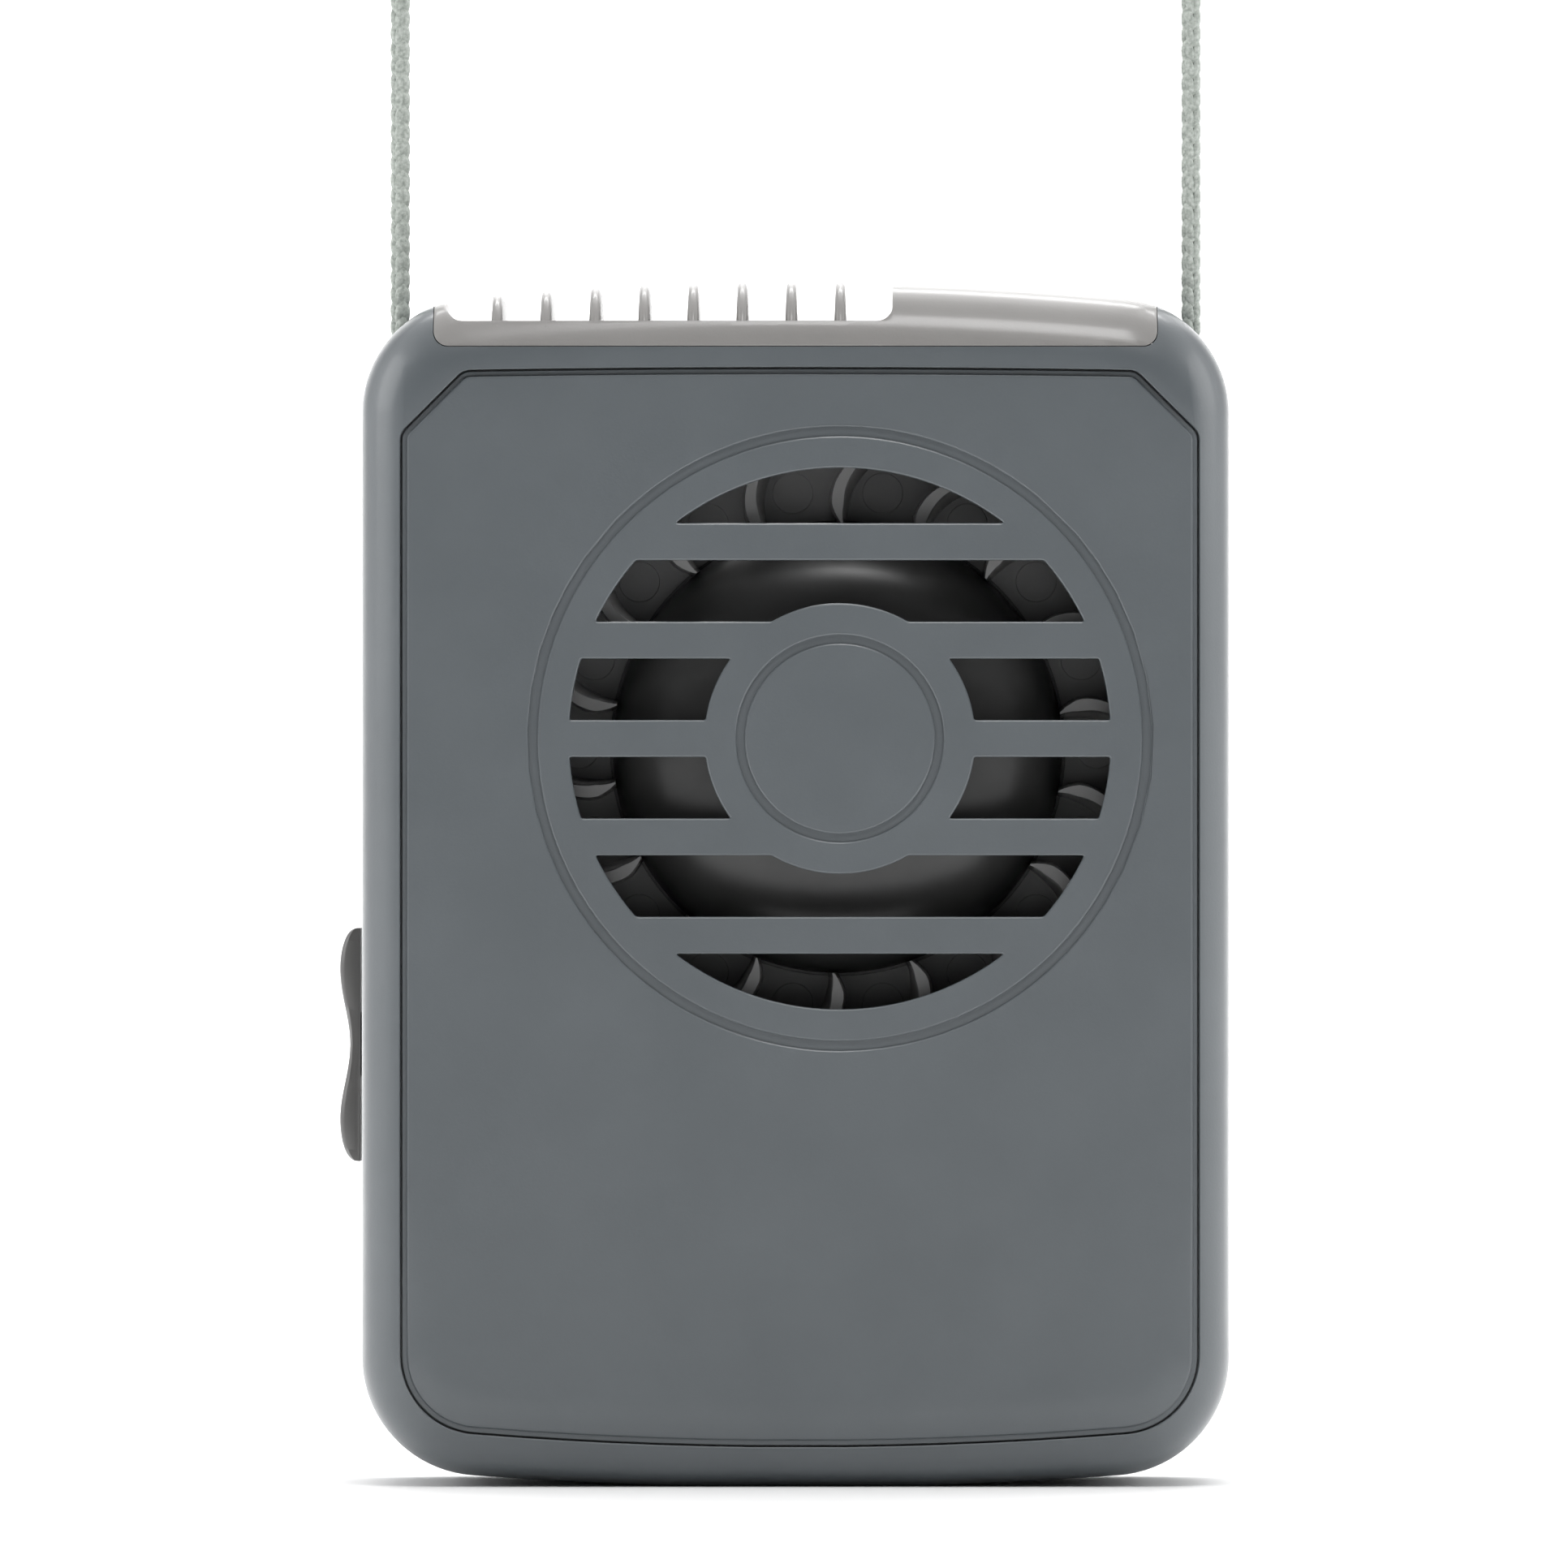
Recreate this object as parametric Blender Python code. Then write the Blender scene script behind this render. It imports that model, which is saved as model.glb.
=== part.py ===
"""Personal necklace blower: a hand-sized centrifugal fan on a neck cord, run by two AA cells.

Lengths are in millimetres and become metres where a mesh is made. +X is right and -Y is the
front, seen by someone facing the grille. +Z is up, and Z = 0 is the flat sole it stands on.
"""

import math

import bmesh
import bpy
from mathutils import Matrix, Vector

MM = 0.001
GAP = 0.3

# Body
HALF_WIDTH = 41.1
TOP = 114.1
ARCH_RADIUS = 327.0
TOP_CORNER = 11.1
BOTTOM_CORNER = 11.3
SOLE_RADIUS = 405.0
SOLE_HALF_FLAT = 12.0
FRONT = -17.0
REAR = 19.5
PARTING = 2.0
FILLET = 6.5
WALL = 1.8

# Front panel and its recess
PANEL_X = 0.4
PANEL_HALF_WIDTH = 37.85
PANEL_TOP = 106.0
PANEL_BOTTOM = 3.7
PANEL_ARCH = 1950.0
PANEL_SOLE = 385.0
PANEL_CHAMFER = 6.0
PANEL_CHAMFER_SOFTENING = 1.8
PANEL_CORNER = 7.6
PANEL_FACE = -16.5
PANEL_BACK = -14.4
GROOVE_WIDTH = 0.7
GROOVE_FLOOR = -15.7
LEDGE_WIDTH = 2.2
LEDGE_THICK = 0.8

# Inlet grille
GRILLE_X = 4.2
GRILLE_Z = 70.8
GRILLE_RADIUS = 25.6
HUB_DISC_RADIUS = 12.8
SLOT_PITCH = 9.3
SLOT_HEIGHT = 5.8
RING_GROOVES = ((28.6, 29.5), (9.0, 9.8))
RING_GROOVE_DEPTH = 0.5

# Outlet vent
VENT_HALF_WIDTH = 34.2
VENT_BOTTOM = 107.9
VENT_END_ROUND = 1.4
NOTCH_LEFT = -33.0
NOTCH_RIGHT = 9.2
NOTCH_FLOOR = 110.3
NOTCH_ROUND = 1.5
OUTLET_FRONT = -12.5
OUTLET_REAR = 12.0
OUTLET_MARGIN = 2.0
FIN_COUNT = 8
FIN_FIRST = -28.23
FIN_PITCH = 4.64
FIN_TIP = 0.95
FIN_ROOT = 1.35
FIN_FOOT = 107.2

# Impeller and motor, whose axis lies a little under the grille's middle
AXIS_X = 4.0
AXIS_Z = 69.9
BLADE_COUNT = 18
BLADE_INNER = 21.3
BLADE_OUTER = 27.6
BLADE_APEX = 23.3
BLADE_CURVE = 5.0
BLADE_THICK = 1.2
BLADE_TAPER = 0.35
BLADE_FRONT = -13.0
PLATE_FRONT = -1.6
PLATE_REAR = -0.4
PLATE_RADIUS = 28.3
DOME_RADIUS = 21.7
DOME_CROWN = -12.4
DOME_WALL = 1.2
DOME_POWER = 3.0
MOTOR_RADIUS = 12.1
MOTOR_FRONT = -8.2
MOTOR_REAR = 3.6
MOTOR_WALL = 0.6
SHAFT_RADIUS = 1.0

# Scroll housing
SCROLL_FRONT = PANEL_BACK + GAP + LEDGE_THICK + GAP
SCROLL_PLATE = 0.4
SCROLL_WALL = 1.2
SCROLL_START = 30.5
SCROLL_GROWTH = 10.0
SCROLL_TONGUE = 11.0
SCROLL_SWEEP = 270.0
DUCT_LEFT = -32.2
DUCT_RIGHT = 9.6
DUCT_TOP = 105.0
FLARE_START = 90.0

# Batteries, lying across the lower half
CELL_RADIUS = 7.1
CELL_LENGTH = 49.2
NUB_RADIUS = 2.7
NUB_LENGTH = 1.2
CELL_Y = 10.3
CELL_Z = {"lower": 14.2, "upper": 29.6}
TRAY_HALF = 30.3
TRAY_WALL = 1.2
TRAY_FLOOR = 2.0
TRAY_REAR = 16.5
CONTACT_THICK = 0.5

# Battery door in the rear face
DOOR_HALF = 31.0
DOOR_TOP = 37.4
DOOR_INNER = 17.9
HINGE_Y = 18.4
HINGE_Z = 7.6
KNUCKLE_RADIUS = 1.1
PIN_RADIUS = 0.6
PIN_LENGTH = 1.3

# Slide switch in the left side
KNOB_MIDDLE = 41.7
KNOB_HALF = 11.1
KNOB_BUMP = 7.2
KNOB_WAIST = 1.35
KNOB_HEIGHT = 2.3
KNOB_EDGE = 0.75
KNOB_HALF_DEPTH = 4.5
SWITCH_Y = 2.0
SWITCH_TRAVEL = 4.0
STEM = (38.7, 44.7)
STEM_HALF_DEPTH = 1.2

# Screws
SCREWS = ((-36.7, 100.5), (36.7, 100.5), (-36.0, 14.0), (36.0, 14.0))
SHANK_RADIUS = 1.05
HEAD_RADIUS = 1.9
HEAD_SEAT = 10.5
BOSS_FRONT_RADIUS = 2.3
BOSS_REAR_RADIUS = 3.05

# Neck cord
CORD_RADIUS = 1.0
CORD_X = 37.6
CORD_Y = -3.0
CORD_FOOT = 107.2
CORD_TOP = 142.5
KNOT_RADIUS = 1.7
KNOT_X = 36.6
KNOT_Z = 105.2
CLASP_HEIGHT = 11.0

FULL_TURN = 2 * math.pi


# ---------------------------------------------------------------- materials and mesh helpers

def material(name, colour, roughness, metallic=0.0):
    """A Principled material from an sRGB hex colour."""
    found = bpy.data.materials.get(name)
    if found:
        return found
    made = bpy.data.materials.new(name)
    made.use_nodes = True
    shader = made.node_tree.nodes["Principled BSDF"]
    channels = [int(colour[i:i + 2], 16) / 255 for i in (0, 2, 4)]
    linear = [c / 12.92 if c <= 0.04045 else ((c + 0.055) / 1.055) ** 2.4 for c in channels]
    shader.inputs["Base Color"].default_value = (*linear, 1)
    shader.inputs["Roughness"].default_value = roughness
    shader.inputs["Metallic"].default_value = metallic
    made.diffuse_color = (*linear, 1)
    return made


def body_plastic():
    return material("grey_abs", "656a6e", 0.55)


def vent_plastic():
    return material("warm_grey_abs", "908e8c", 0.5)


def knob_plastic():
    return material("dark_grey_abs", "585757", 0.5)


def rotor_plastic():
    return material("impeller_abs", "6a6a6a", 0.4)


def inner_plastic():
    return material("inner_abs", "3c3f42", 0.6)


def steel():
    return material("zinc_plated_steel", "b4b6b8", 0.35, 1.0)


def nickel():
    return material("nickel_plated_steel", "c8c6c0", 0.28, 1.0)


def object_of(name, mesh, look, origin=(0, 0, 0)):
    """An object whose origin is at a place in millimetres, over a mesh made in world places."""
    bm = bmesh.new()
    bm.from_mesh(mesh)
    bmesh.ops.recalc_face_normals(bm, faces=bm.faces)
    bm.to_mesh(mesh)
    bm.free()
    place = Vector(origin) * MM
    mesh.transform(Matrix.Scale(MM, 4))
    mesh.transform(Matrix.Translation(-place))
    mesh.shade_smooth()
    mesh.set_sharp_from_angle(angle=math.radians(32))
    if look:
        mesh.materials.append(look)
    made = bpy.data.objects.new(name, mesh)
    made.location = place
    bpy.context.scene.collection.objects.link(made)
    return made


def mesh_of(name, points, faces):
    mesh = bpy.data.meshes.new(name)
    mesh.from_pydata(points, [], faces)
    return mesh


def loft(name, rings, look, closed=False, origin=(0, 0, 0)):
    """A skin over rings of equal count. It is capped at both ends, or closed end to start."""
    count = len(rings[0])
    points = [point for ring in rings for point in ring]
    spans = len(rings) if closed else len(rings) - 1
    faces = []
    for i in range(spans):
        here = i * count
        there = (i + 1) % len(rings) * count
        for j in range(count):
            k = (j + 1) % count
            faces.append((here + j, here + k, there + k, there + j))
    if not closed:
        faces.append(tuple(range(count)))
        faces.append(tuple(range((len(rings) - 1) * count, len(rings) * count)))
    return object_of(name, mesh_of(name, points, faces), look, origin)


def placed(outline, y):
    """An (x, z) outline stood up at a depth y."""
    return [(x, y, z) for x, z in outline]


def prism(name, outline, start, end, look, origin=(0, 0, 0)):
    """An (x, z) outline drawn out along Y."""
    return loft(name, [placed(outline, start), placed(outline, end)], look, origin=origin)


def block(name, low, high, look, origin=(0, 0, 0)):
    """A box between two corners."""
    (x0, y0, z0), (x1, y1, z1) = low, high
    outline = [(x0, z0), (x1, z0), (x1, z1), (x0, z1)]
    return prism(name, outline, y0, y1, look, origin)


def turned(name, profile, look, axis="Y", centre=(0, 0, 0), segments=24, origin=None):
    """A profile of (radius, place along the axis) turned full circle. Radius 0 makes a pole."""
    points = []
    starts = []
    for radius, along in profile:
        starts.append(len(points))
        steps = segments if radius else 1
        for step in range(steps):
            turn = FULL_TURN * step / segments
            across = radius * math.cos(turn)
            up = radius * math.sin(turn)
            local = {"X": (along, across, up), "Y": (across, along, up), "Z": (across, up, along)}
            points.append(Vector(centre) + Vector(local[axis]))
    faces = []
    ends_on_axis = not profile[0][0] and not profile[-1][0]
    pairs = len(profile) - 1 if ends_on_axis else len(profile)
    for i in range(pairs):
        k = (i + 1) % len(profile)
        for step in range(segments):
            after = (step + 1) % segments
            corners = []
            for row, turn in ((i, step), (i, after), (k, after), (k, step)):
                index = starts[row] + (turn if profile[row][0] else 0)
                if index not in corners:
                    corners.append(index)
            if len(corners) > 2:
                faces.append(corners)
    return object_of(name, mesh_of(name, points, faces), look, origin or centre)


def rod(name, radius, start, end, look, axis="Y", centre=(0, 0, 0), segments=16):
    """A plain round bar."""
    profile = [(0, start), (radius, start), (radius, end), (0, end)]
    return turned(name, profile, look, axis, centre, segments)


def combine(target, tool, operation="DIFFERENCE"):
    """Cuts a tool out of the target, adds it or keeps what both share."""
    tool.hide_render = True
    tool.display_type = "WIRE"
    modifier = target.modifiers.new(f"{operation.lower()} {tool.name}", "BOOLEAN")
    modifier.operation = operation
    modifier.solver = "EXACT"
    modifier.object = tool


def joined(name, parts):
    """Separate shapes made one mesh, so that one Boolean uses them all."""
    bm = bmesh.new()
    for part in parts:
        mesh = part.data
        mesh.transform(part.matrix_basis)
        bm.from_mesh(mesh)
        bpy.data.objects.remove(part)
        bpy.data.meshes.remove(mesh)
    mesh = bpy.data.meshes.new(name)
    bm.to_mesh(mesh)
    bm.free()
    made = bpy.data.objects.new(name, mesh)
    bpy.context.scene.collection.objects.link(made)
    return made


def arc(cx, cz, radius, start, end, steps):
    """Points on an arc between two angles in degrees, ends included."""
    points = []
    for i in range(steps + 1):
        angle = math.radians(start + (end - start) * i / steps)
        points.append((cx + radius * math.cos(angle), cz + radius * math.sin(angle)))
    return points


def tube(name, points, radius, look, resolution=2):
    """A round tube through points in millimetres, with its ends filled."""
    curve = bpy.data.curves.new(name, "CURVE")
    curve.dimensions = "3D"
    curve.bevel_depth = radius * MM
    curve.bevel_resolution = resolution
    curve.use_fill_caps = True
    spline = curve.splines.new("POLY")
    spline.points.add(len(points) - 1)
    for target, point in zip(spline.points, points):
        target.co = (*(Vector(point) * MM), 1)
    curve.materials.append(look)
    made = bpy.data.objects.new(name, curve)
    bpy.context.scene.collection.objects.link(made)
    return made


def smooth_route(points, steps=3):
    """A Catmull-Rom curve read at a few points between each two of its own."""
    padded = [points[0], *points, points[-1]]
    route = []
    for i in range(1, len(padded) - 2):
        a, b, c, d = (Vector(p) for p in padded[i - 1:i + 3])
        for step in range(steps):
            t = step / steps
            blend = 2 * b + (c - a) * t + (2 * a - 5 * b + 4 * c - d) * t * t
            route.append((blend + (3 * b - a - 3 * c + d) * t ** 3) / 2)
    route.append(Vector(points[-1]))
    return route


# ---------------------------------------------------------------- outlines

def body_outline(inset=0.0):
    """The body seen from the front: arched top, round corners, nearly flat sole. Offset inwards."""
    top_reach = HALF_WIDTH - TOP_CORNER
    top_centre = TOP - ARCH_RADIUS
    corner_z = top_centre + math.sqrt((ARCH_RADIUS - TOP_CORNER) ** 2 - top_reach ** 2)
    lean = math.degrees(math.asin(top_reach / (ARCH_RADIUS - TOP_CORNER)))
    sole_reach = HALF_WIDTH - BOTTOM_CORNER
    dip = SOLE_RADIUS - math.sqrt(SOLE_RADIUS ** 2 - SOLE_HALF_FLAT ** 2)
    sole_centre = SOLE_RADIUS - dip
    foot_z = sole_centre - math.sqrt((SOLE_RADIUS - BOTTOM_CORNER) ** 2 - sole_reach ** 2)
    tilt = math.degrees(math.asin(sole_reach / (SOLE_RADIUS - BOTTOM_CORNER)))
    right = arc(top_reach, corner_z, TOP_CORNER - inset, 90 - lean, 0, 8)
    right += arc(sole_reach, foot_z, BOTTOM_CORNER - inset, 0, -90 + tilt, 9)
    flat = math.degrees(math.asin(SOLE_HALF_FLAT / SOLE_RADIUS))
    right += arc(0, sole_centre, SOLE_RADIUS - inset, -90 + tilt, -90 + flat, 3)[1:]
    left = [(-x, z) for x, z in reversed(right)]
    crown = arc(0, top_centre, ARCH_RADIUS - inset, 90 + lean, 90 - lean, 12)[1:-1]
    return right + left + crown


def panel_outline(inset=0.0):
    """The front panel's edge: soft chamfers at the top, round corners at the bottom."""
    slope = 22.5
    soft = PANEL_CHAMFER_SOFTENING
    half = PANEL_HALF_WIDTH
    edge = math.sqrt(PANEL_ARCH ** 2 - (half - PANEL_CHAMFER) ** 2)
    shoulder = PANEL_TOP - PANEL_ARCH + edge
    back_off = soft * math.tan(math.radians(slope))
    right = arc(half - PANEL_CHAMFER - back_off, shoulder - soft, soft - inset, 90, 45, 4)
    right += arc(half - soft, shoulder - PANEL_CHAMFER - back_off, soft - inset, 45, 0, 4)
    reach = half - PANEL_CORNER
    centre = PANEL_BOTTOM + PANEL_SOLE
    foot = centre - math.sqrt((PANEL_SOLE - PANEL_CORNER) ** 2 - reach ** 2)
    tilt = math.degrees(math.asin(reach / (PANEL_SOLE - PANEL_CORNER)))
    right += arc(reach, foot, PANEL_CORNER - inset, 0, -90 + tilt, 9)[1:]
    right += arc(0, centre, PANEL_SOLE - inset, -90 + tilt, -89, 3)[1:]
    left = [(-x, z) for x, z in reversed(right)]
    lean = math.degrees(math.asin((half - PANEL_CHAMFER - back_off) / PANEL_ARCH))
    crown = arc(0, PANEL_TOP - PANEL_ARCH, PANEL_ARCH - inset, 90 + lean, 90 - lean, 12)[1:-1]
    return [(PANEL_X + x, z) for x, z in right + left + crown]


def front_surface(x, z, outline):
    """How far forward the rounded body reaches at a point of its front."""
    distance = min(
        segment_distance((x, z), a, b) for a, b in zip(outline, outline[1:] + outline[:1])
    )
    inset = min(distance, FILLET)
    return FRONT + FILLET - math.sqrt(FILLET ** 2 - (FILLET - inset) ** 2)


def segment_distance(point, start, end):
    p, a, b = Vector(point), Vector(start), Vector(end)
    along = b - a
    share = max(0.0, min(1.0, (p - a).dot(along) / along.length_squared))
    return (p - a - along * share).length


# ---------------------------------------------------------------- shells

def fillet_rings(rear, steps, last, wall=0.0):
    """Body outlines round the edge fillet, from the side towards the front or rear face."""
    radius = FILLET - wall
    face = REAR - wall if rear else FRONT + wall
    sign = 1 if rear else -1
    rings = []
    for i in range(steps + 1):
        turn = math.radians(last * i / steps)
        inset = wall + radius * (1 - math.cos(turn))
        rings.append(placed(body_outline(inset), face - sign * radius * (1 - math.sin(turn))))
    return rings


def vent_cutout(name, half_width, bottom, low, high):
    """A block with rounded lower ends that takes in the whole crown of the body."""
    r = VENT_END_ROUND
    outline = [(half_width, TOP + r), (-half_width, TOP + r)]
    outline += arc(-half_width + r, bottom + r, r, 180, 270, 4)
    outline += arc(half_width - r, bottom + r, r, 270, 360, 4)
    return prism(name, outline, low, high, None)


def screw_columns(name, radius, start, end, segments=16):
    columns = [
        rod(f"{name}_{i}", radius, start, end, None, "Y", (x, 0, z), segments)
        for i, (x, z) in enumerate(SCREWS)
    ]
    return joined(name, columns)


def counterbores():
    """Stepped holes from the rear face: wide down to the screw heads, then narrow."""
    wide, narrow = HEAD_RADIUS + GAP, SHANK_RADIUS + GAP
    profile = [(0, 0), (narrow, 0), (narrow, HEAD_SEAT), (wide, HEAD_SEAT)]
    profile += [(wide, REAR + 2), (0, REAR + 2)]
    holes = [
        turned(f"counterbore_{i}", profile, None, "Y", (x, 0, z), 14)
        for i, (x, z) in enumerate(SCREWS)
    ]
    return joined("rear_counterbores", holes)


def cord_holes(name):
    holes = []
    for side in (-1, 1):
        centre = (side * CORD_X, CORD_Y, 0)
        holes.append(rod(f"{name}_{side}", CORD_RADIUS + GAP, CORD_FOOT - 3, TOP, None, "Z", centre))
    return joined(name, holes)


def switch_slot(name):
    low = (-HALF_WIDTH - 1, SWITCH_Y - STEM_HALF_DEPTH - GAP, STEM[0] - GAP)
    high = (WALL * 2 - HALF_WIDTH, SWITCH_Y + STEM_HALF_DEPTH + GAP, STEM[1] + SWITCH_TRAVEL + GAP)
    return block(name, low, high, None)


def front_shell():
    outer = body_outline()
    seam = PARTING - GAP / 2
    rings = [placed(outer, seam)] + fillet_rings(rear=False, steps=4, last=48)
    edge = [(x, z) for x, _, z in rings[-1]]
    rim = panel_outline()
    for share in (0.35, 0.7, 1.0):
        mixed = [
            (a + (c - a) * share, b + (d - b) * share) for (a, b), (c, d) in zip(edge, rim)
        ]
        rings.append([(x, front_surface(x, z, outer), z) for x, z in mixed])
    ledge = PANEL_BACK + GAP
    ledge_rear = ledge + LEDGE_THICK
    rings.append(placed(rim, ledge))
    opening = panel_outline_inside(LEDGE_WIDTH)
    rings.append(placed(opening, ledge))
    rings.append(placed(opening, ledge_rear))
    rings.append(placed(body_outline(WALL + LEDGE_THICK), ledge_rear))
    rings.append(placed(body_outline(WALL), ledge_rear + WALL))
    rings.append(placed(body_outline(WALL), seam))
    shell = loft("front_shell", rings, body_plastic(), closed=True)
    cut = vent_cutout("front_vent_cutout", VENT_HALF_WIDTH + GAP, VENT_BOTTOM - GAP, FRONT - 3, REAR)
    combine(shell, cut)
    combine(shell, screw_columns("front_bosses", BOSS_FRONT_RADIUS, ledge + 0.4, seam - GAP), "UNION")
    combine(shell, screw_columns("front_pilot_holes", SHANK_RADIUS + GAP, -8, PARTING + 3))
    combine(shell, cord_holes("front_cord_holes"))
    combine(shell, switch_slot("front_switch_slot"))


def panel_outline_inside(inset):
    """The recess opening: the panel's outline moved in by more than its softest corner."""
    points = []
    for x, z in panel_outline():
        middle = (PANEL_TOP + PANEL_BOTTOM) / 2
        wide = (PANEL_HALF_WIDTH - inset) / PANEL_HALF_WIDTH
        tall = 1 - 2 * inset / (PANEL_TOP - PANEL_BOTTOM)
        points.append((PANEL_X + (x - PANEL_X) * wide, middle + (z - middle) * tall))
    return points


def rear_shell():
    seam = PARTING + GAP / 2
    outside = [placed(body_outline(), seam)] + fillet_rings(rear=True, steps=5, last=90)
    inside = [placed(body_outline(WALL), seam)] + fillet_rings(True, 3, 90, wall=WALL)
    shell = loft("rear_shell", outside[::-1] + inside, body_plastic())
    cut = vent_cutout("rear_vent_cutout", VENT_HALF_WIDTH + GAP, VENT_BOTTOM - GAP, FRONT, REAR + 3)
    combine(shell, cut)
    combine(shell, screw_columns("rear_bosses", BOSS_REAR_RADIUS, seam + GAP, REAR - 1), "UNION")
    combine(shell, clamp_posts(), "UNION")
    combine(shell, counterbores())
    low = (-DOOR_HALF - GAP, DOOR_INNER - 4, HINGE_Z - KNUCKLE_RADIUS - GAP)
    high = (DOOR_HALF + GAP, REAR + 2, DOOR_TOP + GAP)
    combine(shell, block("door_opening", low, high, None))
    combine(shell, finger_scoop())
    combine(shell, pin_pockets())
    combine(shell, switch_slot("rear_switch_slot"))


def clamp_posts():
    """Two posts inside the rear shell that hold the scroll housing against the panel."""
    places = ((24.0, 45.0), (27.0, 96.0))
    start = SCROLL_PLATE + SCROLL_WALL + GAP + PARTING - 1.6
    posts = [
        rod(f"clamp_post_{i}", 2.0, start, REAR - 1, None, "Y", (x, 0, z), 12)
        for i, (x, z) in enumerate(places)
    ]
    return joined("clamp_posts", posts)


def finger_scoop():
    """A shallow round-ended dip above the door, where a nail lifts the door's top edge."""
    outline = arc(0, DOOR_TOP, 6.0, 0, 180, 10)
    outline += [(-6.0, DOOR_TOP - 2), (6.0, DOOR_TOP - 2)]
    return prism("finger_scoop", outline, REAR - 0.9, REAR + 1, None)


def pin_pockets():
    pockets = []
    for side in (-1, 1):
        inner = side * DOOR_HALF
        outer = side * (DOOR_HALF + PIN_LENGTH + GAP)
        low = (min(inner, outer), HINGE_Y - 3, HINGE_Z - PIN_RADIUS - GAP)
        high = (max(inner, outer), HINGE_Y + PIN_RADIUS + GAP / 2, HINGE_Z + PIN_RADIUS + GAP)
        pockets.append(block(f"pin_pocket_{side}", low, high, None))
    return joined("pin_pockets", pockets)


# ---------------------------------------------------------------- front panel

def slot_outlines():
    """The grille's slots: rows clipped by a circle, the middle two parted by the hub disc."""
    slots = []
    for row in (0.5, 1.5, 2.5):
        low = row * SLOT_PITCH - SLOT_HEIGHT / 2
        high = min(row * SLOT_PITCH + SLOT_HEIGHT / 2, GRILLE_RADIUS)
        start = math.degrees(math.asin(low / GRILLE_RADIUS))
        end = math.degrees(math.asin(high / GRILLE_RADIUS))
        if low > HUB_DISC_RADIUS:
            slots.append(arc(0, 0, GRILLE_RADIUS, start, 180 - start, 12))
            continue
        outer = arc(0, 0, GRILLE_RADIUS, start, end, 3)
        bump_low = math.degrees(math.asin(low / HUB_DISC_RADIUS))
        if high > HUB_DISC_RADIUS:
            top = [(-x, z) for x, z in reversed(outer)]
            slots.append(outer + top + arc(0, 0, HUB_DISC_RADIUS, 180 - bump_low, bump_low, 8))
            continue
        bump_high = math.degrees(math.asin(high / HUB_DISC_RADIUS))
        half = outer + arc(0, 0, HUB_DISC_RADIUS, bump_high, bump_low, 3)
        slots.append(half)
        slots.append([(-x, z) for x, z in half])
    slots += [[(x, -z) for x, z in slot] for slot in slots]
    return [[(GRILLE_X + x, GRILLE_Z + z) for x, z in slot] for slot in slots]


def front_panel():
    flange = panel_outline(GAP)
    face = panel_outline(GROOVE_WIDTH)
    rings = [
        placed(flange, PANEL_BACK),
        placed(flange, GROOVE_FLOOR),
        placed(face, GROOVE_FLOOR),
        placed(face, PANEL_FACE),
    ]
    panel = loft("front_panel", rings, body_plastic())
    slots = [
        prism(f"slot_{i}", outline, FRONT - 1, PANEL_BACK + 1, None)
        for i, outline in enumerate(slot_outlines())
    ]
    combine(panel, joined("grille_slots", slots))
    for i, (inner, outer) in enumerate(RING_GROOVES):
        profile = [
            (inner, FRONT - 1),
            (outer, FRONT - 1),
            (outer, PANEL_FACE + RING_GROOVE_DEPTH),
            (inner, PANEL_FACE + RING_GROOVE_DEPTH),
        ]
        centre = (GRILLE_X, 0, GRILLE_Z)
        combine(panel, turned(f"ring_groove_{i}", profile, None, "Y", centre, 40))


# ---------------------------------------------------------------- outlet vent

def body_core(name):
    """The body's full rounded outside as one solid."""
    front = fillet_rings(rear=False, steps=6, last=90)
    rear = fillet_rings(rear=True, steps=6, last=90)
    return loft(name, front[::-1] + rear, None)


def fin(name, x):
    """One outlet fin, thick at its root, thin at its tip, as deep as the crown above it."""
    half_tip, half_root = FIN_TIP / 2, FIN_ROOT / 2
    outline = [(x - half_root, FIN_FOOT), (x + half_root, FIN_FOOT), (x + half_tip, TOP + 1)]
    outline.append((x - half_tip, TOP + 1))
    return prism(name, outline, FRONT - 1, REAR + 1, None)


def outlet_vent():
    vent = vent_cutout("outlet_vent", VENT_HALF_WIDTH, VENT_BOTTOM, FRONT - 2, REAR + 2)
    vent.data.materials.append(vent_plastic())
    combine(vent, body_core("vent_crown"), "INTERSECT")
    r = NOTCH_ROUND
    notch = [(NOTCH_RIGHT, TOP + 2), (NOTCH_LEFT, TOP + 2)]
    notch += arc(NOTCH_LEFT + r, NOTCH_FLOOR + r, r, 180, 270, 3)
    notch += arc(NOTCH_RIGHT - r, NOTCH_FLOOR + r, r, 270, 360, 3)
    combine(vent, prism("outlet_notch", notch, FRONT - 4, REAR + 4, None))
    low = (NOTCH_LEFT + OUTLET_MARGIN, OUTLET_FRONT, VENT_BOTTOM - 4)
    high = (NOTCH_RIGHT - OUTLET_MARGIN, OUTLET_REAR, NOTCH_FLOOR + 4)
    combine(vent, block("outlet_mouth", low, high, None))
    low = (NOTCH_RIGHT + WALL, FRONT + 3.5, VENT_BOTTOM - 4)
    high = (VENT_HALF_WIDTH - WALL, REAR - 3.5, TOP - 4)
    combine(vent, block("cap_hollow", low, high, None))
    fins = joined("outlet_fins", [fin(f"fin_{i}", FIN_FIRST + FIN_PITCH * i) for i in range(FIN_COUNT)])
    keep = body_core("fin_crown")
    trim = vent_cutout("fin_trim", VENT_HALF_WIDTH - 1, FIN_FOOT + VENT_END_ROUND, FRONT - 5, REAR + 5)
    combine(keep, trim, "INTERSECT")
    combine(fins, keep, "INTERSECT")
    combine(vent, fins, "UNION")


# ---------------------------------------------------------------- impeller and motor

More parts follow.
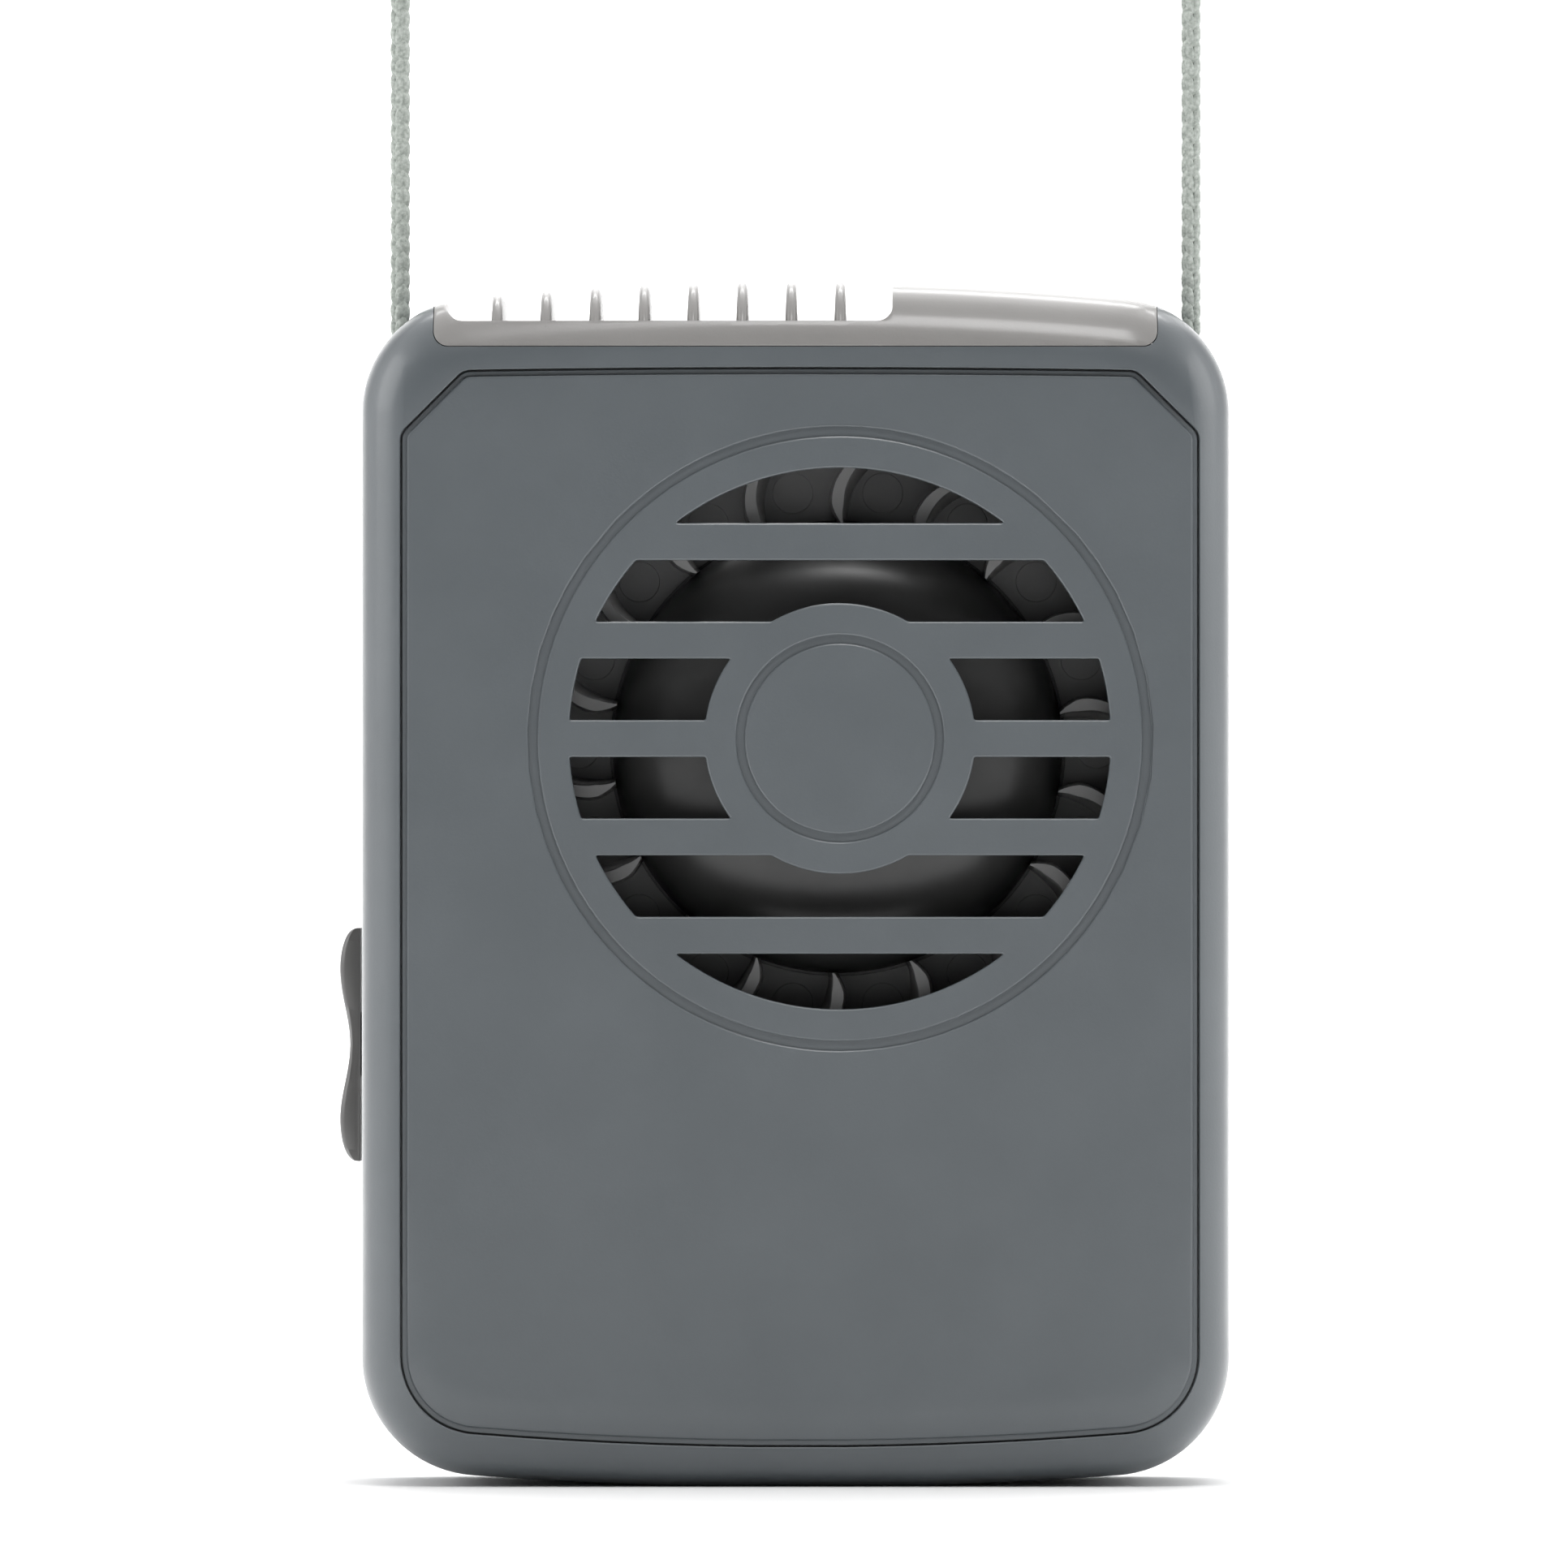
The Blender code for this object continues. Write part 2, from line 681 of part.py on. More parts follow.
def dome_curve(radius, rise, base, steps):
    """A superellipse from the crown on the axis down to the foot."""
    points = []
    for i in range(steps + 1):
        turn = math.radians(90 * i / steps)
        out = radius * math.sin(turn) ** (2 / DOME_POWER)
        up = rise * math.cos(turn) ** (2 / DOME_POWER) if i < steps else 0.0
        points.append((out, base - up))
    return points


def blade_outline(turn):
    """A forward-curved crescent: an arc with its hollow side clockwise, thinner at its inner end."""
    face, back = [], []
    steps = 6
    for i in range(steps + 1):
        share = i / steps
        radius = BLADE_INNER + (BLADE_OUTER - BLADE_INNER) * share
        bend = math.sqrt(BLADE_CURVE ** 2 - (radius - BLADE_APEX) ** 2) - BLADE_CURVE
        half = BLADE_THICK / 2 * min(1.0, BLADE_TAPER + 2.2 * share)
        face.append((radius, bend - half))
        back.append((radius, bend + half))
    cos, sin = math.cos(turn), math.sin(turn)
    around = face + back[::-1]
    return [(AXIS_X + r * cos - t * sin, AXIS_Z + r * sin + t * cos) for r, t in around]


def impeller():
    centre = (AXIS_X, 0, AXIS_Z)
    outside = dome_curve(DOME_RADIUS, PLATE_FRONT - DOME_CROWN, PLATE_FRONT, 9)
    inner_crown = DOME_CROWN + DOME_WALL
    inside = dome_curve(DOME_RADIUS - DOME_WALL, PLATE_FRONT - inner_crown, PLATE_FRONT, 8)
    boss = 3.0
    boss_rear = -10.0
    bore_end = -11.7
    profile = outside + [(PLATE_RADIUS, PLATE_FRONT), (PLATE_RADIUS, PLATE_REAR)]
    profile += [(DOME_RADIUS - DOME_WALL, PLATE_REAR)] + [p for p in inside[::-1] if p[0] > boss + 2]
    profile += [(boss, inner_crown), (boss, boss_rear), (SHAFT_RADIUS + GAP, boss_rear)]
    profile += [(SHAFT_RADIUS + GAP, bore_end), (0, bore_end)]
    wheel = turned("impeller", profile, rotor_plastic(), "Y", centre, 36)
    blades = []
    for i in range(BLADE_COUNT):
        outline = blade_outline(math.radians(90 + 360 * i / BLADE_COUNT))
        blades.append(prism(f"blade_{i}", outline, BLADE_FRONT, PLATE_FRONT + 0.5, None))
    combine(wheel, joined("impeller_blades", blades), "UNION")


def motor():
    centre = (AXIS_X, 0, AXIS_Z)
    inner = MOTOR_RADIUS - MOTOR_WALL
    bush = 2.3
    can = [
        (bush + GAP, MOTOR_FRONT),
        (MOTOR_RADIUS, MOTOR_FRONT),
        (MOTOR_RADIUS, MOTOR_REAR),
        (inner, MOTOR_REAR),
        (inner, MOTOR_FRONT + 0.8),
        (bush + GAP, MOTOR_FRONT + 0.8),
    ]
    turned("motor_can", can, steel(), "Y", centre, 28)
    bore = SHAFT_RADIUS + GAP
    ring = [(bore, MOTOR_FRONT - 1), (bush, MOTOR_FRONT - 1), (bush, MOTOR_FRONT + 2)]
    ring.append((bore, MOTOR_FRONT + 2))
    turned("motor_bushing", ring, material("sintered_bronze", "9a7a48", 0.5, 1.0), "Y", centre, 16)
    cap_start, cap_end = MOTOR_REAR - 1.2, MOTOR_REAR + 1.0
    cap = [(bore, cap_start), (inner - GAP, cap_start), (inner - GAP, cap_end), (bore, cap_end)]
    turned("motor_end_cap", cap, material("white_nylon", "d8d6cc", 0.5), "Y", centre, 28)
    rod("motor_shaft", SHAFT_RADIUS, -11.4, MOTOR_REAR + 0.4, steel(), "Y", centre, 12)
    magnet = material("ferrite", "2f2f31", 0.7)
    for side, middle in (("left", 180), ("right", 0)):
        span = 62
        outline = arc(AXIS_X, AXIS_Z, inner - GAP, middle - span, middle + span, 10)
        outline += arc(AXIS_X, AXIS_Z, 9.2, middle + span, middle - span, 10)
        prism(f"motor_magnet_{side}", outline, -6.0, 1.6, magnet)
    armature(centre, bore)
    for side in (-1, 1):
        name = "motor_terminal_positive" if side > 0 else "motor_terminal_negative"
        x = AXIS_X + side * 6.0
        low = (x - 0.9, cap_end + GAP, AXIS_Z - 0.25)
        block(name, low, (x + 0.9, cap_end + 3.2, AXIS_Z + 0.25), nickel())


def armature(centre, bore):
    """The wound rotor inside the motor: three poles with a slot between each two."""
    outer, hole = [], []
    poles = 3
    for i in range(36):
        turn = FULL_TURN * i / 36
        slot = math.cos(poles * turn) > 0.8
        radius = 5.4 if slot else 8.6
        outer.append((AXIS_X + radius * math.cos(turn), AXIS_Z + radius * math.sin(turn)))
        hole.append((AXIS_X + bore * math.cos(turn), AXIS_Z + bore * math.sin(turn)))
    rings = [placed(outer, -5.0), placed(outer, 1.0), placed(hole, 1.0), placed(hole, -5.0)]
    copper = material("enamelled_copper", "a65a2c", 0.4, 1.0)
    loft("motor_armature", rings, copper, closed=True, origin=centre)


# ---------------------------------------------------------------- scroll housing

def scroll_outline(extra, top):
    """The volute, clockwise seen from the front, with its duct running up to the vent."""
    points = []
    steps = 30
    for i in range(steps + 1):
        sweep = SCROLL_SWEEP * i / steps
        radius = SCROLL_START + SCROLL_GROWTH * sweep / SCROLL_SWEEP + extra
        angle = math.radians(90 - SCROLL_TONGUE - sweep)
        points.append((AXIS_X + radius * math.cos(angle), AXIS_Z + radius * math.sin(angle)))
    points.append((DUCT_LEFT - extra, top))
    points.append((DUCT_RIGHT + extra, top))
    return points


def flare(name, extra, top):
    """The duct's rear wall leans back, so that the air fills the vent's whole mouth."""
    left, right = DUCT_LEFT - extra, DUCT_RIGHT + extra
    start, end = SCROLL_PLATE + extra, OUTLET_REAR + extra
    depth = SCROLL_FRONT + 2
    rings = []
    for x in (left, right):
        side = [(x, depth, FLARE_START), (x, start - 0.2, FLARE_START)]
        side += [(x, end, DUCT_TOP), (x, end, top), (x, depth, top)]
        rings.append(side)
    return loft(name, rings, None)


def scroll_housing():
    plate_rear = SCROLL_PLATE + SCROLL_WALL
    outline = scroll_outline(SCROLL_WALL, DUCT_TOP)
    housing = prism("scroll_housing", outline, SCROLL_FRONT, plate_rear, inner_plastic())
    centre = (AXIS_X, 0, AXIS_Z)
    combine(housing, flare("duct_outside", SCROLL_WALL, DUCT_TOP), "UNION")
    inside = scroll_outline(0, DUCT_TOP + 3)
    combine(housing, prism("scroll_inside", inside, SCROLL_FRONT - 2, SCROLL_PLATE, None))
    combine(housing, flare("duct_inside", 0, DUCT_TOP + 3))
    cup_front = MOTOR_FRONT - GAP - 1.0
    cup_radius = MOTOR_RADIUS + GAP
    cup = rod("motor_cup", cup_radius + SCROLL_WALL, cup_front, plate_rear, None, "Y", centre, 28)
    combine(housing, cup, "UNION")
    seat = rod("motor_seat", cup_radius, MOTOR_FRONT - GAP, plate_rear + 2, None, "Y", centre, 28)
    combine(housing, seat)
    combine(housing, rod("bushing_hole", 2.9, cup_front - 2, MOTOR_FRONT, None, "Y", centre, 16))


# ---------------------------------------------------------------- batteries

def battery_tray():
    low_z = CELL_Z["lower"] - CELL_RADIUS - GAP
    high_z = CELL_Z["upper"] + CELL_RADIUS + GAP
    low = (-TRAY_HALF - TRAY_WALL, TRAY_FLOOR, low_z - TRAY_WALL)
    high = (TRAY_HALF + TRAY_WALL, TRAY_REAR, high_z + TRAY_WALL)
    tray = block("battery_tray", low, high, inner_plastic())
    low = (-TRAY_HALF, TRAY_FLOOR + 0.9, low_z)
    combine(tray, block("tray_hollow", low, (TRAY_HALF, TRAY_REAR + 2, high_z), None))
    slits = []
    for place, z in CELL_Z.items():
        low = (-TRAY_HALF - 3, CELL_Y - 1.3, z - 0.55)
        slits.append(block(f"lug_slit_{place}", low, (-TRAY_HALF + 2, CELL_Y + 1.3, z + 0.55), None))
    combine(tray, joined("lug_slits", slits))


def battery(place, facing):
    """An AA cell lying along X, its positive nub to the left or the right."""
    half = CELL_LENGTH / 2
    shift = -facing * NUB_LENGTH / 2
    profile = [
        (0, -half),
        (CELL_RADIUS - 0.5, -half),
        (CELL_RADIUS, -half + 0.5),
        (CELL_RADIUS, half - 0.5),
        (CELL_RADIUS - 0.5, half),
        (NUB_RADIUS, half),
        (NUB_RADIUS, half + NUB_LENGTH),
        (0, half + NUB_LENGTH),
    ]
    profile = [(r, shift + facing * along) for r, along in profile]
    look = material("cell_sleeve", "4b5a66", 0.35)
    turned(f"battery_{place}", profile, look, "X", (0, CELL_Y, CELL_Z[place]), 24)


def contact_tab(name, z):
    """A flat contact in the tray's left end, with a solder lug out through the wall."""
    tab_x = -TRAY_HALF + GAP
    low = (tab_x, CELL_Y - 4.5, z - 4.5)
    tab = block(name, low, (tab_x + CONTACT_THICK, CELL_Y + 4.5, z + 4.5), nickel())
    low = (-TRAY_HALF - TRAY_WALL - 1.2, CELL_Y - 1.0, z - 0.25)
    high = (tab_x + CONTACT_THICK / 2, CELL_Y + 1.0, z + 0.25)
    combine(tab, block(f"{name}_lug", low, high, None), "UNION")


def contact_spring(name, z, side):
    """A conical coil that presses on a cell's flat end."""
    far = TRAY_HALF - GAP - CONTACT_THICK - GAP
    near = CELL_LENGTH / 2 + NUB_LENGTH / 2 + GAP
    wire = 0.35
    turns, per_turn = 4, 10
    points = []
    for i in range(turns * per_turn + 1):
        share = i / (turns * per_turn)
        angle = FULL_TURN * turns * share
        radius = 4.2 - 1.6 * share
        along = far - wire - (far - near - 2 * wire) * share
        points.append((side * along, CELL_Y + radius * math.cos(angle), z + radius * math.sin(angle)))
    tube(name, points, wire, nickel(), resolution=1)


def batteries():
    battery_tray()
    battery("upper", -1)
    battery("lower", 1)
    contact_tab("contact_positive", CELL_Z["upper"])
    contact_tab("contact_negative", CELL_Z["lower"])
    low = (TRAY_HALF - GAP - CONTACT_THICK, CELL_Y - 4.5, CELL_Z["lower"] - 4.5)
    high = (TRAY_HALF - GAP, CELL_Y + 4.5, CELL_Z["upper"] + 4.5)
    block("contact_bridge", low, high, nickel())
    contact_spring("contact_spring_lower", CELL_Z["lower"], -1)
    contact_spring("contact_spring_upper", CELL_Z["upper"], 1)


def battery_door():
    """The cover over the cells. It turns on two stub pins along its lower edge."""
    section = [(REAR, HINGE_Z), (REAR, DOOR_TOP), (DOOR_INNER, DOOR_TOP), (DOOR_INNER, HINGE_Z + 1)]
    section += arc(HINGE_Y, HINGE_Z, KNUCKLE_RADIUS, 150, 360, 8)[:-1]
    rings = [[(x, y, z) for y, z in section] for x in (-DOOR_HALF, DOOR_HALF)]
    origin = (0, HINGE_Y, HINGE_Z)
    door = loft("battery_door", rings, body_plastic(), origin=origin)
    reach = DOOR_HALF + PIN_LENGTH
    pins = rod("door_pins", PIN_RADIUS, -reach, reach, None, "X", origin, 12)
    combine(door, pins, "UNION")


# ---------------------------------------------------------------- switch

def knob_height(z):
    """How far the knob stands out of the side: two bumps, a waist between, round ends."""
    offset = abs(z - KNOB_MIDDLE)
    if offset <= KNOB_BUMP:
        lift = math.sin(math.pi * offset / (2 * KNOB_BUMP)) ** 2
        return KNOB_WAIST + (KNOB_HEIGHT - KNOB_WAIST) * lift
    share = min(1.0, (offset - KNOB_BUMP) / (KNOB_HALF - KNOB_BUMP))
    return KNOB_EDGE + (KNOB_HEIGHT - KNOB_EDGE) * math.sqrt(1 - share ** 2)


def switch_knob():
    base = -HALF_WIDTH - GAP
    steps = 22
    rings = []
    for depth, share in ((-1, 0.45), (-0.86, 0.85), (-0.6, 1.0), (0.6, 1.0), (0.86, 0.85), (1, 0.45)):
        ring = []
        for i in range(steps + 1):
            z = KNOB_MIDDLE + KNOB_HALF * math.sin(math.radians(-90 + 180 * i / steps))
            out = GAP - knob_height(z) * share
            ring.append((base + out, SWITCH_Y + KNOB_HALF_DEPTH * depth, z))
        ring.append((base, SWITCH_Y + KNOB_HALF_DEPTH * depth, KNOB_MIDDLE + KNOB_HALF))
        ring.append((base, SWITCH_Y + KNOB_HALF_DEPTH * depth, KNOB_MIDDLE - KNOB_HALF))
        rings.append(ring)
    origin = (base, SWITCH_Y, KNOB_MIDDLE)
    knob = loft("switch_knob", rings, knob_plastic(), origin=origin)
    inner_wall = -HALF_WIDTH + WALL
    low = (base - 0.3, SWITCH_Y - STEM_HALF_DEPTH, STEM[0])
    high = (inner_wall + GAP + 0.5, SWITCH_Y + STEM_HALF_DEPTH, STEM[1])
    combine(knob, block("knob_stem", low, high, None), "UNION")
    low = (inner_wall + GAP, SWITCH_Y - 2.5, STEM[0] - 2)
    high = (inner_wall + GAP + 1.0, SWITCH_Y + 2.5, STEM[1] + 2)
    combine(knob, block("knob_flange", low, high, None), "UNION")


def switch():
    body_x = -37.4
    lever_low = STEM[0] + 0.9
    lever_high = STEM[1] - 0.9
    black = material("black_nylon", "1c1c1d", 0.5)
    low = (body_x - GAP, SWITCH_Y - 1.0, lever_low)
    block("switch_lever", low, (body_x + 1.2, SWITCH_Y + 1.0, lever_high), black, origin=low)
    low = (body_x, SWITCH_Y - 3.0, 36.6)
    body = block("switch_body", low, (body_x + 4.0, SWITCH_Y + 3.0, 50.9), steel())
    low = (body_x - 1, SWITCH_Y - 1.0 - GAP, lever_low - GAP)
    high = (body_x + 1.5, SWITCH_Y + 1.0 + GAP, lever_high + SWITCH_TRAVEL + GAP)
    combine(body, block("lever_slot", low, high, None))
    pin_start = body_x + 4.0 + GAP
    for i, z in enumerate((39.6, 43.75, 47.9)):
        rod(f"switch_pin_{i + 1}", 0.35, pin_start, pin_start + 2.0, nickel(), "X", (0, 4.0, z), 8)
    profile = [(0, 39.0), (0.3, 39.0), (0.3, 41.4), (1.1, 41.8), (1.1, 46.2), (0.3, 46.6)]
    profile += [(0.3, 49.0), (0, 49.0)]
    look = material("resistor_lacquer", "c8b48c", 0.45)
    turned("speed_resistor", profile, look, "Z", (pin_start + 3.6, 4.0, 0), 12)


# ---------------------------------------------------------------- wires, screws and cord

def wires():
    red = material("red_pvc", "a01c18", 0.45)
    black = material("black_pvc", "18181a", 0.45)
    lug_x = -TRAY_HALF - TRAY_WALL - 0.9
    upper, lower = CELL_Z["upper"] + 1.0, CELL_Z["lower"] + 1.0
    motor_y = MOTOR_REAR + 1.0 + 3.2
    feed = [(lug_x, CELL_Y, upper), (-33.6, CELL_Y, upper + 2.5), (-34.0, 8.5, 36.0), (-32.2, 6.4, 39.6)]
    tube("wire_battery_positive", smooth_route(feed), 0.55, red)
    plus = (AXIS_X + 6.0, motor_y + 0.6, AXIS_Z)
    switched = [(-28.0, 4.0, 43.75), (-22.0, 5.0, 46.0), (-8.0, 7.0, 52.0), (6.0, 8.4, 60.0)]
    switched += [(10.6, 8.8, 67.0), plus]
    tube("wire_motor_feed", smooth_route(switched), 0.55, red)
    minus = (AXIS_X - 6.0, motor_y + 0.6, AXIS_Z)
    back = [(lug_x, CELL_Y, lower), (lug_x - 0.4, CELL_Y + 0.6, lower + 4), (-34.0, CELL_Y + 2, 25.0)]
    back += [(-34.0, 12.8, 36.5), (-28.0, 12.4, 44.0), (-16.0, 11.0, 54.0), (-5.0, 9.6, 65.0), minus]
    tube("wire_battery_negative", smooth_route(back), 0.55, black)


def shell_screws():
    profile = [
        (0, -7.0),
        (SHANK_RADIUS, -7.0),
        (SHANK_RADIUS, HEAD_SEAT + GAP),
        (HEAD_RADIUS, HEAD_SEAT + GAP),
        (HEAD_RADIUS, HEAD_SEAT + 1.4),
        (HEAD_RADIUS - 0.5, HEAD_SEAT + 1.8),
        (0, HEAD_SEAT + 1.9),
    ]
    for i, (x, z) in enumerate(SCREWS):
        turned(f"shell_screw_{i + 1}", profile, steel(), "Y", (x, 0, z), 12)


def neck_cord():
    cotton = material("braided_cord", "aab0aa", 0.9)
    clasp = material("clasp_abs", "5a5e61", 0.5)
    for side, word in ((-1, "left"), (1, "right")):
        x = side * CORD_X
        points = [(x, CORD_Y, CORD_FOOT + (CORD_TOP - GAP - CORD_FOOT) * i / 9) for i in range(10)]
        tube(f"cord_{word}", points, CORD_RADIUS, cotton)
        turns = [math.pi * i / 8 for i in range(9)]
        knot = [(KNOT_RADIUS * math.sin(turn), -KNOT_RADIUS * math.cos(turn)) for turn in turns]
        knot[0], knot[-1] = (0, -KNOT_RADIUS), (0, KNOT_RADIUS)
        turned(f"cord_knot_{word}", knot, cotton, "Z", (side * KNOT_X, CORD_Y, KNOT_Z), 12)
    ferrule = [(0, 0), (1.6, 0), (2.4, 1.6), (2.6, 4.0), (2.6, CLASP_HEIGHT)]
    socket = ferrule + [(1.7, CLASP_HEIGHT), (1.7, 5.0), (0, 5.0)]
    turned("clasp_socket", socket, clasp, "Z", (-CORD_X, CORD_Y, CORD_TOP), 16)
    plug = ferrule[:-1] + [(2.6, 5.5), (1.4, 5.5), (1.4, CLASP_HEIGHT - 1)]
    plug += [(1.0, CLASP_HEIGHT), (0, CLASP_HEIGHT)]
    turned("clasp_plug", plug, clasp, "Z", (CORD_X, CORD_Y, CORD_TOP), 16)


def build():
    for old in list(bpy.data.objects):
        bpy.data.objects.remove(old)
    front_shell()
    rear_shell()
    front_panel()
    outlet_vent()
    impeller()
    motor()
    scroll_housing()
    batteries()
    battery_door()
    switch_knob()
    switch()
    wires()
    shell_screws()
    neck_cord()


build()
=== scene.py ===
import math

import bmesh
import bpy
from mathutils import Matrix, Vector


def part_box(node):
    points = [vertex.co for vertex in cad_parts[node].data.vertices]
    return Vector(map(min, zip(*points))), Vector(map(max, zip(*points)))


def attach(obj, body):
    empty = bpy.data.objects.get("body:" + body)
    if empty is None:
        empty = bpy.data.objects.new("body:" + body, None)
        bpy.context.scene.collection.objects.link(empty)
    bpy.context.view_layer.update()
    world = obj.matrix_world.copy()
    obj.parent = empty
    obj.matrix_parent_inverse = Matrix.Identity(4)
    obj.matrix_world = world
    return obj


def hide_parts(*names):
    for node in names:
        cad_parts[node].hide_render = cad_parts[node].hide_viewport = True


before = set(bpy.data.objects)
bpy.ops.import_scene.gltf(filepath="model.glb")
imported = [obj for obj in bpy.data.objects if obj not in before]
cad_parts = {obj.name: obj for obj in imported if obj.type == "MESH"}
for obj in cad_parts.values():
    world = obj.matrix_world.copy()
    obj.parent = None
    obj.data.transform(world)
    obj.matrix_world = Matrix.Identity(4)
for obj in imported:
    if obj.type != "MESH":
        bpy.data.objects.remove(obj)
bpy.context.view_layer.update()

bl_info = {
    "name": "Necklace Fan",
    "version": (1, 0, 0),
    "blender": (4, 5, 0),
    "location": "View3D > Sidebar > Necklace Fan",
    "description": "Builds the finished surfaces of a necklace fan round its packed frame",
    "category": "Add Mesh",
}

FULL_TURN = 2 * math.pi
MM = 0.001

shell_low, shell_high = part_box("front_shell")
rear_low, rear_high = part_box("rear_shell")
panel_low, panel_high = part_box("front_panel")
vent_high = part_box("outlet_vent")[1]
wheel_low, wheel_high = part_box("impeller")
knob_low, knob_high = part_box("switch_knob")
door_low, door_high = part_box("battery_door")
cord_low, cord_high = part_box("cord_left")
screw_low, screw_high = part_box("shell_screw_1")


# ---------------------------------------------------------------- settings

def length(name, description, default, low=0.0, high=1.0):
    return bpy.props.FloatProperty(
        name=name, description=description, default=default, min=low, max=high, unit="LENGTH", precision=5
    )


def hex_colour(name, description, default):
    return bpy.props.StringProperty(name=name, description=description, default=default, maxlen=6)


class FanBodySettings(bpy.types.PropertyGroup):
    """The case: its outline, edge fillet and colour."""

    half_width: length("Half width", "Middle to side wall", rear_high.x)
    top: length("Top", "Height of the crown", 0.1141)
    front: length("Front", "Foremost plane of the bezel", shell_low.y, -1.0)
    rear: length("Rear", "Plane of the back", rear_high.y)
    arch: length("Arch radius", "Radius of the arched top", 0.327)
    top_corner: length("Top corner", "Radius of the top corners", 0.0111)
    bottom_corner: length("Bottom corner", "Radius of the bottom corners", 0.0113)
    sole: length("Sole radius", "Radius of the slightly rounded sole", 0.405)
    sole_flat: length("Sole flat", "Half width of the flat in the sole", 0.012)
    fillet: length("Fillet", "Radius of the long edges in front and behind", 0.0065)
    wall: length("Wall", "Thickness of the moulding", 0.0018)
    gap: length("Gap", "Gap between moving or inner mouldings", 0.0003)
    hairline: length("Hairline", "Gap between mouldings pressed together", 0.00007)
    colour: hex_colour("Colour", "Grey of the case, sRGB hex", "5a6064")


class FanPanelSettings(bpy.types.PropertyGroup):
    """The front panel and its inlet grille."""

    middle: length("Middle", "Middle of the recess in X", 0.0004, -1.0)
    half_width: length("Half width", "Half width of the recess", 0.03785)
    top: length("Top", "Top of the recess", 0.1060)
    bottom: length("Bottom", "Bottom of the recess", 0.0037)
    sole: length("Lower edge", "Radius of the lower edge", 0.385)
    arch: length("Arch radius", "Radius of the top edge", 1.95)
    chamfer: length("Chamfer", "Size of the top corner chamfers", 0.006)
    softening: length("Softening", "Radius at the ends of each chamfer", 0.0018)
    corner: length("Corner", "Radius of the bottom corners", 0.0076)
    face: length("Face", "Plane of the panel's front", panel_low.y, -1.0)
    back: length("Back", "Plane of the panel's back", panel_high.y, -1.0)
    groove: length("Groove", "Width of the groove round the panel", 0.0007)
    groove_depth: length("Groove depth", "Depth of that groove", 0.0005)
    grille: length("Grille radius", "Radius that bounds the slots", 0.0256)
    hub: length("Hub radius", "Radius of the disc in the middle", 0.0128)
    pitch: length("Slot pitch", "From one slot row to the next", 0.0093)
    slot: length("Slot height", "Height of a slot row", 0.0058)
    grille_x: length("Grille X", "Middle of the grille", 0.0042, -1.0)
    grille_z: length("Grille Z", "Height of the grille's middle", 0.0708)
    ring_inner: length("Ring groove", "Inner radius of the large ring groove", 0.0286)
    ring_outer: length("Ring groove end", "Outer radius of the large ring groove", 0.0295)
    eye_inner: length("Eye groove", "Inner radius of the small ring groove", 0.0090)
    eye_outer: length("Eye groove end", "Outer radius of the small ring groove", 0.0098)


class FanVentSettings(bpy.types.PropertyGroup):
    """The finned outlet in the crown."""

    half_width: length("Half width", "Half the vent's length", vent_high.x)
    bottom: length("Bottom", "Lower edge of the vent", 0.1079)
    end_round: length("End radius", "Radius of the lower end corners", 0.0014)
    notch_left: length("Notch left", "Left end of the finned notch", -0.0330, -1.0)
    notch_right: length("Notch right", "Right end of the finned notch", 0.0092, -1.0)
    notch_floor: length("Notch floor", "Floor of the notch", 0.1103)
    notch_round: length("Notch radius", "Inner corners of the notch", 0.0015)
    mouth_front: length("Mouth front", "Front edge of the outlet mouth", -0.0125, -1.0)
    mouth_rear: length("Mouth rear", "Rear edge of the outlet mouth", 0.0120)
    fin_first: length("First fin", "Place of the leftmost fin", -0.02823, -1.0)
    fin_pitch: length("Fin pitch", "From fin to fin", 0.00464)
    fin_tip: length("Fin tip", "Thickness at the tip", 0.00095)
    fin_root: length("Fin root", "Thickness at the root", 0.00135)
    fin_count: bpy.props.IntProperty(name="Fins", description="Number of fins", default=8, min=1, max=20)
    colour: hex_colour("Colour", "Warm grey of the vent, sRGB hex", "878583")


class FanWheelSettings(bpy.types.PropertyGroup):
    """The impeller."""

    blades: bpy.props.IntProperty(name="Blades", description="Number of blades", default=18, min=3, max=60)
    inner: length("Blade inner radius", "Where the blades start", 0.0213)
    outer: length("Blade outer radius", "Where the blades end", 0.0276)
    apex: length("Blade apex", "Radius where a blade bows out most", 0.0233)
    curve: length("Blade curve", "Radius of a blade's arc", 0.0050)
    thick: length("Blade thickness", "Thickness at the front edge", 0.00118)
    front: length("Blade front", "Front plane of the blades", wheel_low.y, -1.0)
    plate: length("Plate", "Front plane of the back plate", -0.0016, -1.0)
    plate_rear: length("Plate rear", "Rear plane of the back plate", wheel_high.y, -1.0)
    dome: length("Dome radius", "Radius of the hub dome", 0.0217)
    crown: length("Dome crown", "Foremost point of the dome", -0.0124, -1.0)
    colour: hex_colour("Colour", "Grey of the impeller, sRGB hex", "7a7a7a")


class FanCordSettings(bpy.types.PropertyGroup):
    """The knitted neck cord."""

    diameter: length("Diameter", "Outer diameter of the cord", cord_high.x - cord_low.x)
    stitch: length("Stitch", "Height of one stitch", 0.00155)
    wales: bpy.props.IntProperty(
        name="Wales", description="Stitch columns round the cord", default=3, min=3, max=12
    )
    colour: hex_colour("Colour", "Pale grey-green of the yarn, sRGB hex", "c3c9c3")


